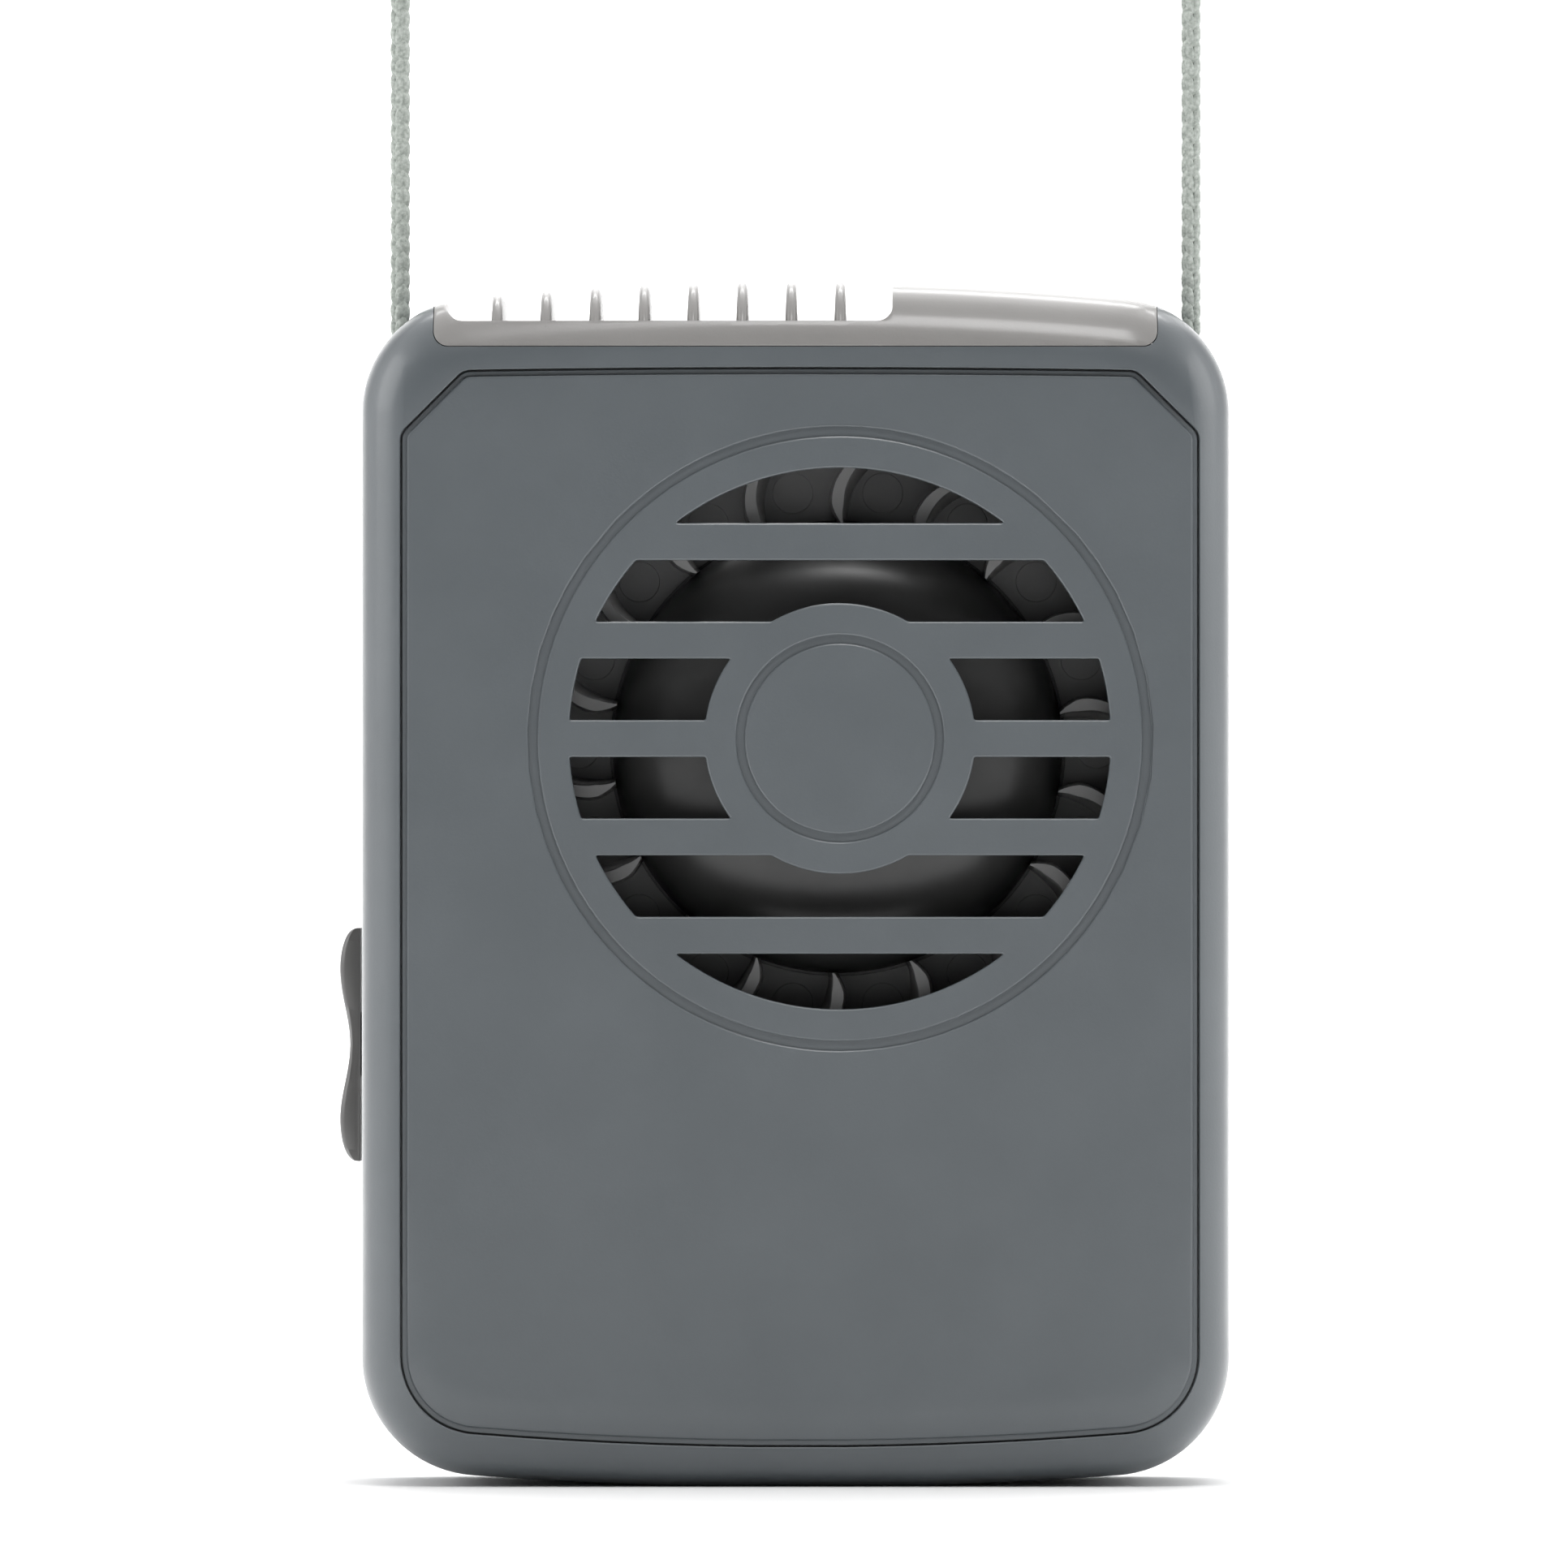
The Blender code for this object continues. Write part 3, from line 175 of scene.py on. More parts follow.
class FanStageSettings(bpy.types.PropertyGroup):
    """Camera, floor and lights."""

    distance: length("Camera distance", "From the camera to the fan", 2.0, 0.1, 10.0)
    camera_x: length("Camera X", "Where the camera stands, a little right of the middle", 0.004, -1.0)
    view_width: length("View width", "Width seen at the fan", 0.1494)
    view_x: length("View centre X", "Where the view is centred", -0.00112, -1.0)
    view_z: length("View centre Z", "Height of the view's centre", 0.0665)


GROUPS = {
    "fan_body": FanBodySettings,
    "fan_panel": FanPanelSettings,
    "fan_vent": FanVentSettings,
    "fan_wheel": FanWheelSettings,
    "fan_cord": FanCordSettings,
    "fan_stage": FanStageSettings,
}


# ---------------------------------------------------------------- shader helpers

def linear(code):
    """Linear RGBA from an sRGB hex colour."""
    channels = [int(code[i:i + 2], 16) / 255 for i in (0, 2, 4)]
    return (*[c / 12.92 if c <= 0.04045 else ((c + 0.055) / 1.055) ** 2.4 for c in channels], 1)


def add_node(tree, kind, values=None, links=None, **settings):
    """One node with its settings, its socket values and the outputs linked to its inputs."""
    node = tree.nodes.new(kind)
    for key, value in settings.items():
        setattr(node, key, value)
    for key, value in (values or {}).items():
        node.inputs[key].default_value = value
    for key, output in (links or {}).items():
        tree.links.new(output, node.inputs[key])
    return node


def new_material(name, colour, roughness, metallic=0.0, **sockets):
    """A Principled material. Returns it with its tree, its shader and its object coordinates."""
    made = bpy.data.materials.new(name)
    made.use_nodes = True
    tree = made.node_tree
    shader = tree.nodes["Principled BSDF"]
    shader.inputs["Base Color"].default_value = linear(colour)
    shader.inputs["Roughness"].default_value = roughness
    shader.inputs["Metallic"].default_value = metallic
    for key, value in sockets.items():
        shader.inputs[key.replace("_", " ")].default_value = value
    made.diffuse_color = linear(colour)
    place = add_node(tree, "ShaderNodeTexCoord").outputs["Object"]
    return made, tree, shader, place


def vary_colour(tree, shader, place, colour, darker, size, detail=3.0):
    """Lets the colour drift a little between two shades over patches of a real size."""
    patches = add_node(
        tree, "ShaderNodeTexNoise",
        {"Scale": 1 / size, "Detail": detail, "Roughness": 0.55}, {"Vector": place},
    )
    ramp = add_node(tree, "ShaderNodeValToRGB", links={"Fac": patches.outputs["Fac"]})
    ramp.color_ramp.elements[0].position = 0.3
    ramp.color_ramp.elements[0].color = linear(darker)
    ramp.color_ramp.elements[1].position = 0.7
    ramp.color_ramp.elements[1].color = linear(colour)
    tree.links.new(ramp.outputs["Color"], shader.inputs["Base Color"])


def vary_roughness(tree, shader, place, low, high, size):
    patches = add_node(tree, "ShaderNodeTexNoise", {"Scale": 1 / size, "Detail": 2.0}, {"Vector": place})
    spread = add_node(
        tree, "ShaderNodeMapRange", {"To Min": low, "To Max": high}, {"Value": patches.outputs["Fac"]}
    )
    tree.links.new(spread.outputs["Result"], shader.inputs["Roughness"])


def grain_bump(tree, shader, place, size, height, kind="ShaderNodeTexNoise"):
    """A fine relief whose grains have a real size and height."""
    if kind == "ShaderNodeTexNoise":
        grain = add_node(tree, kind, {"Scale": 1 / size, "Detail": 2.0}, {"Vector": place}).outputs["Fac"]
    else:
        grain = add_node(tree, kind, {"Scale": 1 / size}, {"Vector": place}).outputs["Distance"]
    bump = add_node(tree, "ShaderNodeBump", {"Strength": 1.0, "Distance": height}, {"Height": grain})
    tree.links.new(bump.outputs["Normal"], shader.inputs["Normal"])


# ---------------------------------------------------------------- materials

def spark_eroded_abs(name, colour, darker, roughness=0.5):
    """ABS, moulded in a spark-eroded tool: an even satin with a very fine matt grain.

    The real grain is about 0.05 mm, too fine to show. It is drawn 0.25 mm wide.
    """
    made, tree, shader, place = new_material(
        name, colour, roughness, IOR=1.53, Coat_Weight=0.6, Coat_Roughness=0.2
    )
    vary_colour(tree, shader, place, colour, darker, 12 * MM)
    grain_bump(tree, shader, place, 0.25 * MM, 0.010 * MM)
    vary_roughness(tree, shader, place, roughness - 0.05, roughness + 0.06, 5 * MM)
    return made


def polished_abs(name, colour, darker):
    """ABS from a polished tool: smoother and shinier, with faint flow marks."""
    made, tree, shader, place = new_material(name, colour, 0.34, IOR=1.53)
    vary_colour(tree, shader, place, colour, darker, 9 * MM)
    grain_bump(tree, shader, place, 2.5 * MM, 0.015 * MM)
    return made


def zinc_plated_steel():
    """Steel, bright zinc plated: a cool metal with soft cloudy patches."""
    made, tree, shader, place = new_material("zinc_plated_steel", "b9bcc0", 0.32, 1.0)
    vary_colour(tree, shader, place, "c2c5c9", "a3a7ad", 1.5 * MM)
    vary_roughness(tree, shader, place, 0.25, 0.42, 0.8 * MM)
    return made


def nickel_plated_spring_steel():
    """Spring steel, nickel plated: warm and bright, with fine stamping lines."""
    made, tree, shader, place = new_material("nickel_plated_spring_steel", "cbc7bd", 0.22, 1.0)
    vary_colour(tree, shader, place, "d2cec4", "b5b0a4", 2 * MM)
    grain_bump(tree, shader, place, 0.2 * MM, 0.004 * MM)
    return made


def sintered_bronze():
    """Bronze, pressed from powder and sintered: dull brown gold with open pores."""
    made, tree, shader, place = new_material("sintered_bronze", "8f6f40", 0.5, 1.0)
    vary_colour(tree, shader, place, "9a7a48", "6b5230", 0.3 * MM)
    grain_bump(tree, shader, place, 0.12 * MM, 0.01 * MM, "ShaderNodeTexVoronoi")
    return made


def enamelled_copper():
    """Copper wire in clear enamel, wound: red-brown with the lines of the turns, 0.2 mm apart."""
    made, tree, shader, place = new_material("enamelled_copper", "a65a2c", 0.3, 1.0, Coat_Weight=0.5)
    turns = add_node(
        tree, "ShaderNodeTexWave", {"Scale": 0.05 / (0.2 * MM), "Distortion": 0.4}, {"Vector": place},
        bands_direction="Y",
    )
    bump = add_node(tree, "ShaderNodeBump", {"Distance": 0.05 * MM}, {"Height": turns.outputs["Fac"]})
    tree.links.new(bump.outputs["Normal"], shader.inputs["Normal"])
    return made


def sintered_ferrite():
    """Ferrite, pressed and sintered: charcoal grey, dull and faintly gritty."""
    made, tree, shader, place = new_material("sintered_ferrite", "2f2f31", 0.7)
    vary_colour(tree, shader, place, "38383a", "242426", 0.8 * MM)
    grain_bump(tree, shader, place, 0.15 * MM, 0.01 * MM)
    return made


def moulded_nylon(name, colour, darker):
    """Nylon, moulded: slightly waxy, with a hint of translucence at thin edges."""
    made, tree, shader, place = new_material(name, colour, 0.45, IOR=1.53, Subsurface_Weight=0.05)
    shader.inputs["Subsurface Scale"].default_value = 0.5 * MM
    vary_colour(tree, shader, place, colour, darker, 3 * MM)
    return made


def shrink_sleeve():
    """PVC film shrunk on a steel cell: glossy blue-grey, with faint lengthwise ripples."""
    made, tree, shader, place = new_material("shrink_sleeve", "4b5a66", 0.25, Coat_Weight=0.4)
    vary_colour(tree, shader, place, "4f5f6c", "434f5a", 8 * MM)
    grain_bump(tree, shader, place, 1.2 * MM, 0.01 * MM)
    return made


def resistor_lacquer():
    """Epoxy lacquer over a ceramic rod: cream, slightly uneven where it was dipped."""
    made, tree, shader, place = new_material("resistor_lacquer", "c8b48c", 0.35)
    vary_colour(tree, shader, place, "cebb94", "b39f78", 0.7 * MM)
    grain_bump(tree, shader, place, 0.5 * MM, 0.03 * MM)
    return made


def extruded_pvc(name, colour, darker):
    """PVC insulation, extruded over copper strands: soft gloss with a slight waver."""
    made, tree, shader, place = new_material(name, colour, 0.38, IOR=1.53)
    vary_colour(tree, shader, place, colour, darker, 4 * MM)
    grain_bump(tree, shader, place, 0.8 * MM, 0.015 * MM)
    return made


def knitted_polyester(colour):
    """Polyester yarn, spun and knitted: matt, with fine filaments along the yarn and a soft sheen."""
    made, tree, shader, place = new_material(
        "knitted_polyester", colour, 0.85, Sheen_Weight=0.25, Sheen_Roughness=0.5
    )
    vary_colour(tree, shader, place, colour, "8f968f", 0.35 * MM)
    grain_bump(tree, shader, place, 0.12 * MM, 0.03 * MM)
    return made


def seamless_card():
    """Matt white paper for the floor: no gloss, with a barely uneven pulp."""
    made, tree, shader, place = new_material("seamless_card", "fbfbfb", 0.9, Specular_IOR_Level=0.1)
    grain_bump(tree, shader, place, 1 * MM, 0.01 * MM)
    return made


# ---------------------------------------------------------------- mesh helpers

def finish_mesh(name, mesh, look, body, nodes=(), sharp=30.0):
    """Makes a mesh into a piece: shaded, given its material, riding on its body."""
    bm = bmesh.new()
    bm.from_mesh(mesh)
    bmesh.ops.recalc_face_normals(bm, faces=bm.faces)
    bm.to_mesh(mesh)
    bm.free()
    mesh.shade_smooth()
    mesh.set_sharp_from_angle(angle=math.radians(sharp))
    mesh.materials.clear()
    mesh.materials.append(look)
    made = bpy.data.objects.new(name, mesh)
    bpy.context.scene.collection.objects.link(made)
    if body:
        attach(made, body)
    if nodes:
        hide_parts(*nodes)
    return made


def mesh_from(name, points, faces):
    mesh = bpy.data.meshes.new(name)
    mesh.from_pydata([tuple(p) for p in points], [], faces)
    return mesh


def ring_skin(name, rings, closed=False, caps=(True, True)):
    """A skin over rings of equal count, capped at its ends or closed end to start."""
    count = len(rings[0])
    points = [point for ring in rings for point in ring]
    faces = []
    for i in range(len(rings) if closed else len(rings) - 1):
        here, there = i * count, (i + 1) % len(rings) * count
        for j in range(count):
            k = (j + 1) % count
            faces.append((here + j, here + k, there + k, there + j))
    if not closed and caps[0]:
        faces.append(tuple(reversed(range(count))))
    if not closed and caps[1]:
        faces.append(tuple(range((len(rings) - 1) * count, len(rings) * count)))
    return mesh_from(name, points, faces)


def turned_mesh(name, profile, centre, axis="Y", segments=64):
    """A profile of (radius, place along the axis) turned full circle. Radius 0 makes a pole."""
    points, starts, faces = [], [], []
    for radius, along in profile:
        starts.append(len(points))
        for step in range(segments if radius else 1):
            turn = FULL_TURN * step / segments
            across, up = radius * math.cos(turn), radius * math.sin(turn)
            local = {"X": (along, across, up), "Y": (across, along, up), "Z": (across, up, along)}
            points.append(Vector(centre) + Vector(local[axis]))
    ends_on_axis = not profile[0][0] and not profile[-1][0]
    for i in range(len(profile) - 1 if ends_on_axis else len(profile)):
        k = (i + 1) % len(profile)
        for step in range(segments):
            after = (step + 1) % segments
            corners = []
            for row, turn in ((i, step), (i, after), (k, after), (k, step)):
                index = starts[row] + (turn if profile[row][0] else 0)
                if index not in corners:
                    corners.append(index)
            if len(corners) > 2:
                faces.append(corners)
    return mesh_from(name, points, faces)


def stood(outline, y):
    return [(x, y, z) for x, z in outline]


def prism_mesh(name, outline, start, end):
    return ring_skin(name, [stood(outline, start), stood(outline, end)])


def box_mesh(name, low, high):
    outline = [(low[0], low[2]), (high[0], low[2]), (high[0], high[2]), (low[0], high[2])]
    return prism_mesh(name, outline, low[1], high[1])


def merged(name, meshes):
    """Several meshes as one. The old ones are removed."""
    bm = bmesh.new()
    for mesh in meshes:
        bm.from_mesh(mesh)
        bpy.data.meshes.remove(mesh)
    made = bpy.data.meshes.new(name)
    bm.to_mesh(made)
    bm.free()
    return made


def carved(mesh, steps):
    """The mesh after a list of Booleans, each (operation, tool mesh)."""
    helper = bpy.data.objects.new("work", mesh)
    tools = []
    for operation, tool in steps:
        bm = bmesh.new()
        bm.from_mesh(tool)
        bmesh.ops.recalc_face_normals(bm, faces=bm.faces)
        bm.to_mesh(tool)
        bm.free()
        other = bpy.data.objects.new("tool", tool)
        tools.append(other)
        bpy.context.scene.collection.objects.link(other)
        modifier = helper.modifiers.new(operation, "BOOLEAN")
        modifier.operation = operation
        modifier.solver = "EXACT"
        modifier.object = other
    bm = bmesh.new()
    bm.from_mesh(mesh)
    bmesh.ops.recalc_face_normals(bm, faces=bm.faces)
    bm.to_mesh(mesh)
    bm.free()
    bpy.context.scene.collection.objects.link(helper)
    result = evaluated_mesh(helper)
    for other in [helper, *tools]:
        data = other.data
        bpy.data.objects.remove(other)
        bpy.data.meshes.remove(data)
    return result


def evaluated_mesh(obj):
    bpy.context.view_layer.update()
    graph = bpy.context.evaluated_depsgraph_get()
    return bpy.data.meshes.new_from_object(obj.evaluated_get(graph), depsgraph=graph)


def softened(mesh, width, angle=35.0, segments=2):
    """The mesh with its sharp edges rounded."""
    helper = bpy.data.objects.new("work", mesh)
    bpy.context.scene.collection.objects.link(helper)
    bevel = helper.modifiers.new("soft edges", "BEVEL")
    bevel.width = width
    bevel.segments = segments
    bevel.limit_method = "ANGLE"
    bevel.angle_limit = math.radians(angle)
    bevel.use_clamp_overlap = True
    result = evaluated_mesh(helper)
    bpy.data.objects.remove(helper)
    bpy.data.meshes.remove(mesh)
    return result


def plate_mesh(name, loops, start, end, edge):
    """A plate with holes between two depths, its edges rounded. Loops are (x, z) outlines."""
    curve = bpy.data.curves.new(name, "CURVE")
    curve.dimensions = "2D"
    curve.fill_mode = "BOTH"
    curve.extrude = (end - start) / 2 - edge
    curve.bevel_depth = edge
    curve.bevel_resolution = 1
    curve.offset = -edge
    for loop in loops:
        spline = curve.splines.new("POLY")
        spline.points.add(len(loop) - 1)
        spline.use_cyclic_u = True
        for target, (x, z) in zip(spline.points, loop):
            target.co = (x, z, 0, 1)
    helper = bpy.data.objects.new(name, curve)
    bpy.context.scene.collection.objects.link(helper)
    mesh = evaluated_mesh(helper)
    bpy.data.objects.remove(helper)
    bpy.data.curves.remove(curve)
    stand = Matrix.Rotation(math.radians(90), 4, "X")
    mesh.transform(Matrix.Translation((0, (start + end) / 2, 0)) @ stand)
    bm = bmesh.new()
    bm.from_mesh(mesh)
    bmesh.ops.remove_doubles(bm, verts=bm.verts, dist=1e-7)
    bm.to_mesh(mesh)
    bm.free()
    return mesh


# ---------------------------------------------------------------- outlines

def arc(cx, cz, radius, start, end, steps):
    """Points on an arc between two angles in degrees, ends included."""
    points = []
    for i in range(steps + 1):
        angle = math.radians(start + (end - start) * i / steps)
        points.append((cx + radius * math.cos(angle), cz + radius * math.sin(angle)))
    return points


def between(a, b, steps):
    """Points inside the straight stretch between two others."""
    return [(a[0] + (b[0] - a[0]) * i / steps, a[1] + (b[1] - a[1]) * i / steps) for i in range(1, steps)]


def mirrored(right):
    return [(-x, z) for x, z in reversed(right)]


def body_outline(body, inset=0.0):
    """The case seen from the front: arched top, round corners, nearly flat sole."""
    reach = body.half_width - body.top_corner
    centre = body.top - body.arch
    corner_z = centre + math.sqrt((body.arch - body.top_corner) ** 2 - reach ** 2)
    lean = math.degrees(math.asin(reach / (body.arch - body.top_corner)))
    foot = body.half_width - body.bottom_corner
    dip = body.sole - math.sqrt(body.sole ** 2 - body.sole_flat ** 2)
    sole_z = body.sole - dip
    foot_z = sole_z - math.sqrt((body.sole - body.bottom_corner) ** 2 - foot ** 2)
    tilt = math.degrees(math.asin(foot / (body.sole - body.bottom_corner)))
    flat = math.degrees(math.asin(body.sole_flat / body.sole))
    shoulder = arc(reach, corner_z, body.top_corner - inset, 90 - lean, 0, 20)
    heel = arc(foot, foot_z, body.bottom_corner - inset, 0, -90 + tilt, 20)
    right = shoulder + between(shoulder[-1], heel[0], 16) + heel
    right += arc(0, sole_z, body.sole - inset, -90 + tilt, -90 + flat, 6)[1:]
    left = mirrored(right)
    right += between(right[-1], left[0], 6)
    crown = arc(0, centre, body.arch - inset, 90 + lean, 90 - lean, 40)[1:-1]
    return right + left + crown


def panel_outline(panel, inset=0.0):
    """The panel's edge: soft chamfers at the top, round corners at the bottom."""
    soft, half = panel.softening, panel.half_width
    back_off = soft * math.tan(math.radians(22.5))
    reach = half - panel.corner
    sole = panel.sole
    shoulder = panel.top - panel.arch + math.sqrt(panel.arch ** 2 - (half - panel.chamfer) ** 2)
    first = arc(half - panel.chamfer - back_off, shoulder - soft, soft - inset, 90, 45, 10)
    second = arc(half - soft, shoulder - panel.chamfer - back_off, soft - inset, 45, 0, 9)
    centre = panel.bottom + sole
    foot = centre - math.sqrt((sole - panel.corner) ** 2 - reach ** 2)
    tilt = math.degrees(math.asin(reach / (sole - panel.corner)))
    heel = arc(reach, foot, panel.corner - inset, 0, -90 + tilt, 20)
    right = first + second + between(second[-1], heel[0], 16) + heel
    right += arc(0, centre, sole - inset, -90 + tilt, -90, 7)[1:-1]
    left = mirrored(right)
    right += between(right[-1], left[0], 6)
    lean = math.degrees(math.asin((half - panel.chamfer - back_off) / panel.arch))
    crown = arc(0, panel.top - panel.arch, panel.arch - inset, 90 + lean, 90 - lean, 40)[1:-1]
    return [(panel.middle + x, z) for x, z in right + left + crown]


def rounded(outline, radius, steps=5, sharper_than=25.0):
    """The outline with each sharp corner turned into an arc of the given radius."""
    points = []
    count = len(outline)
    for i in range(count):
        before, here, after = (Vector(outline[(i + k) % count]) for k in (-1, 0, 1))
        inward, outward = before - here, after - here
        turn = math.pi - inward.angle(outward)
        if math.degrees(turn) < sharper_than:
            points.append(tuple(here))
            continue
        cut = min(radius * math.tan(turn / 2), 0.45 * inward.length, 0.45 * outward.length)
        start, end = here + inward.normalized() * cut, here + outward.normalized() * cut
        for k in range(steps + 1):
            share = k / steps
            a, b = start.lerp(here, share), here.lerp(end, share)
            points.append(tuple(a.lerp(b, share)))
    return points


def edge_distance(point, outline):
    """Distance from a point to the nearest stretch of an outline."""
    px, pz = point
    best = 1.0
    for (ax, az), (bx, bz) in zip(outline, outline[1:] + outline[:1]):
        dx, dz = bx - ax, bz - az
        share = max(0.0, min(1.0, ((px - ax) * dx + (pz - az) * dz) / (dx * dx + dz * dz + 1e-18)))
        best = min(best, math.hypot(px - ax - dx * share, pz - az - dz * share))
    return best


def front_surface(body, point, outline):
    """The depth of the rounded case front under a point."""
    inset = min(edge_distance(point, outline), body.fillet)
    return body.front + body.fillet - math.sqrt(body.fillet ** 2 - (body.fillet - inset) ** 2)


def fillet_rings(body, rear, steps, last, wall=0.0):
    """Case outlines round the edge fillet, from the side towards the front or rear face."""
    radius = body.fillet - wall
    face = body.rear - wall if rear else body.front + wall
    sign = 1 if rear else -1
    rings = []
    for i in range(steps + 1):
        turn = math.radians(last * i / steps)
        inset = wall + radius * (1 - math.cos(turn))
        rings.append(stood(body_outline(body, inset), face - sign * radius * (1 - math.sin(turn))))
    return rings


def vent_block(body, vent, grow, low, high):
    """A block with rounded lower ends that takes in the crown of the case."""
    r = vent.end_round
    half, bottom = vent.half_width + grow, vent.bottom - grow
    outline = [(half, body.top + r), (-half, body.top + r)]
    outline += arc(-half + r, bottom + r, r, 180, 270, 8)
    outline += arc(half - r, bottom + r, r, 270, 360, 8)
    return prism_mesh("vent_block", outline, low, high)


def slot_loops(panel, cx, cz):
    """The grille's slots: rows bounded by a circle, the middle two parted by the hub disc."""
    slots = []
    for row in (0.5, 1.5, 2.5):
        low = row * panel.pitch - panel.slot / 2
        high = min(row * panel.pitch + panel.slot / 2, panel.grille)
        start = math.degrees(math.asin(low / panel.grille))
        end = math.degrees(math.asin(high / panel.grille))
        bump = math.degrees(math.asin(min(1.0, low / panel.hub)))
        if low > panel.hub:
            slots.append(arc(0, 0, panel.grille, start, 180 - start, 40))
        elif high > panel.hub:
            outer = arc(0, 0, panel.grille, start, end, 12)
            hub = arc(0, 0, panel.hub, 180 - bump, bump, 24)
            slots.append(outer + mirrored(outer) + hub)
        else:
            top = math.degrees(math.asin(high / panel.hub))
            half = arc(0, 0, panel.grille, start, end, 12) + arc(0, 0, panel.hub, top, bump, 12)
            slots.append(half)
            slots.append([(-x, z) for x, z in half])
    slots += [[(x, -z) for x, z in slot] for slot in slots]
    return [rounded([(cx + x, cz + z) for x, z in slot], 0.7 * MM) for slot in slots]


def circle(cx, cz, radius, steps=96):
    return arc(cx, cz, radius, 0, 360, steps)[:-1]


def wheel_centre():
    return (wheel_low.x + wheel_high.x) / 2, (wheel_low.z + wheel_high.z) / 2


def case_material(body):
    found = bpy.data.materials.get("moulded_grey_abs")
    return found or spark_eroded_abs("moulded_grey_abs", body.colour, "555b5f", 0.38)


# ---------------------------------------------------------------- operators

class FAN_OT_stage(bpy.types.Operator):
    """Camera, floor and soft studio light"""

    bl_idname = "fan.stage"
    bl_label = "Stage"

    def execute(self, context):
        stage = context.scene.fan_stage
        self.camera(context, stage)
        self.floor()
        self.lights(context)
        return {"FINISHED"}

    def camera(self, context, stage):
        data = bpy.data.cameras.new("camera")
        data.sensor_width = 36.0
        data.lens = 36.0 * stage.distance / stage.view_width
        data.clip_end = 20.0
        camera = bpy.data.objects.new("camera", data)
        camera.location = (stage.camera_x, -stage.distance, stage.view_z)
        camera.rotation_euler = (math.radians(90), 0, 0)
        data.shift_x = (stage.view_x - stage.camera_x) / stage.view_width
        context.scene.collection.objects.link(camera)
        context.scene.camera = camera

    def floor(self):
        """A white sweep: a flat floor that curves up into a backdrop."""
        reach, flat, bend, steps = 4.0, 2.2, 0.6, 12
        side = [(-reach, 0.0), (flat, 0.0)]
        side += [
            (flat + bend * math.sin(math.radians(a)), bend * (1 - math.cos(math.radians(a))))
            for a in [90 * i / steps for i in range(1, steps + 1)]
        ]
        side.append((flat + bend, 3.5))
        points = [(x, y, z) for x in (-reach, reach) for y, z in side]
        count = len(side)
        faces = [(i, count + i, count + i + 1, i + 1) for i in range(count - 1)]
        mesh = mesh_from("floor", points, faces)
        mesh.shade_smooth()
        mesh.materials.append(seamless_card())
        floor = bpy.data.objects.new("floor", mesh)
        bpy.context.scene.collection.objects.link(floor)

    def lights(self, context):
        context.scene.view_settings.view_transform = "Standard"
        self.tent(context)
        self.softbox(context, "rear_softbox", (0.1, 0.5, 0.85), (0, 0, 0.06), 0.8, 2.4)
        self.softbox(context, "front_softbox", (0.06, -0.42, 0.66), (0, 0, 0.11), 0.22, 1.7)
        self.softbox(context, "left_softbox", (-0.9, -0.1, 0.4), (0, 0, 0.06), 0.6, 2.5)
        self.softbox(context, "right_softbox", (0.9, -0.05, 0.4), (0, 0, 0.06), 0.6, 1.9)
        self.softbox(context, "backdrop_light", (0.0, 1.3, 1.9), (0, 2.9, 0.2), 1.6, 80.0)

    def tent(self, context):
        """A white tent: bright behind and beside the fan, dim in front where it opens for the camera."""
        world = bpy.data.worlds.new("studio_tent")
        world.use_nodes = True
        tree = world.node_tree
        background = tree.nodes["Background"]
        around = add_node(tree, "ShaderNodeTexCoord").outputs["Generated"]
        axes = add_node(tree, "ShaderNodeSeparateXYZ", links={"Vector": around})
        opening = add_node(
            tree, "ShaderNodeMapRange",
            {"From Min": -1.0, "From Max": 0.15, "To Min": 0.08, "To Max": 1.05},
            {"Value": axes.outputs["Y"]},
            interpolation_type="SMOOTHSTEP",
        )
        tree.links.new(opening.outputs["Result"], background.inputs["Strength"])
        background.inputs["Color"].default_value = (1, 1, 1, 1)
        context.scene.world = world

    def softbox(self, context, name, place, target, size, power):
        data = bpy.data.lights.new(name, "AREA")
        data.shape = "SQUARE"
        data.size = size
        data.energy = power
        light = bpy.data.objects.new(name, data)
        light.location = place
        light.rotation_euler = (Vector(target) - Vector(place)).to_track_quat("-Z", "Y").to_euler()
        context.scene.collection.objects.link(light)


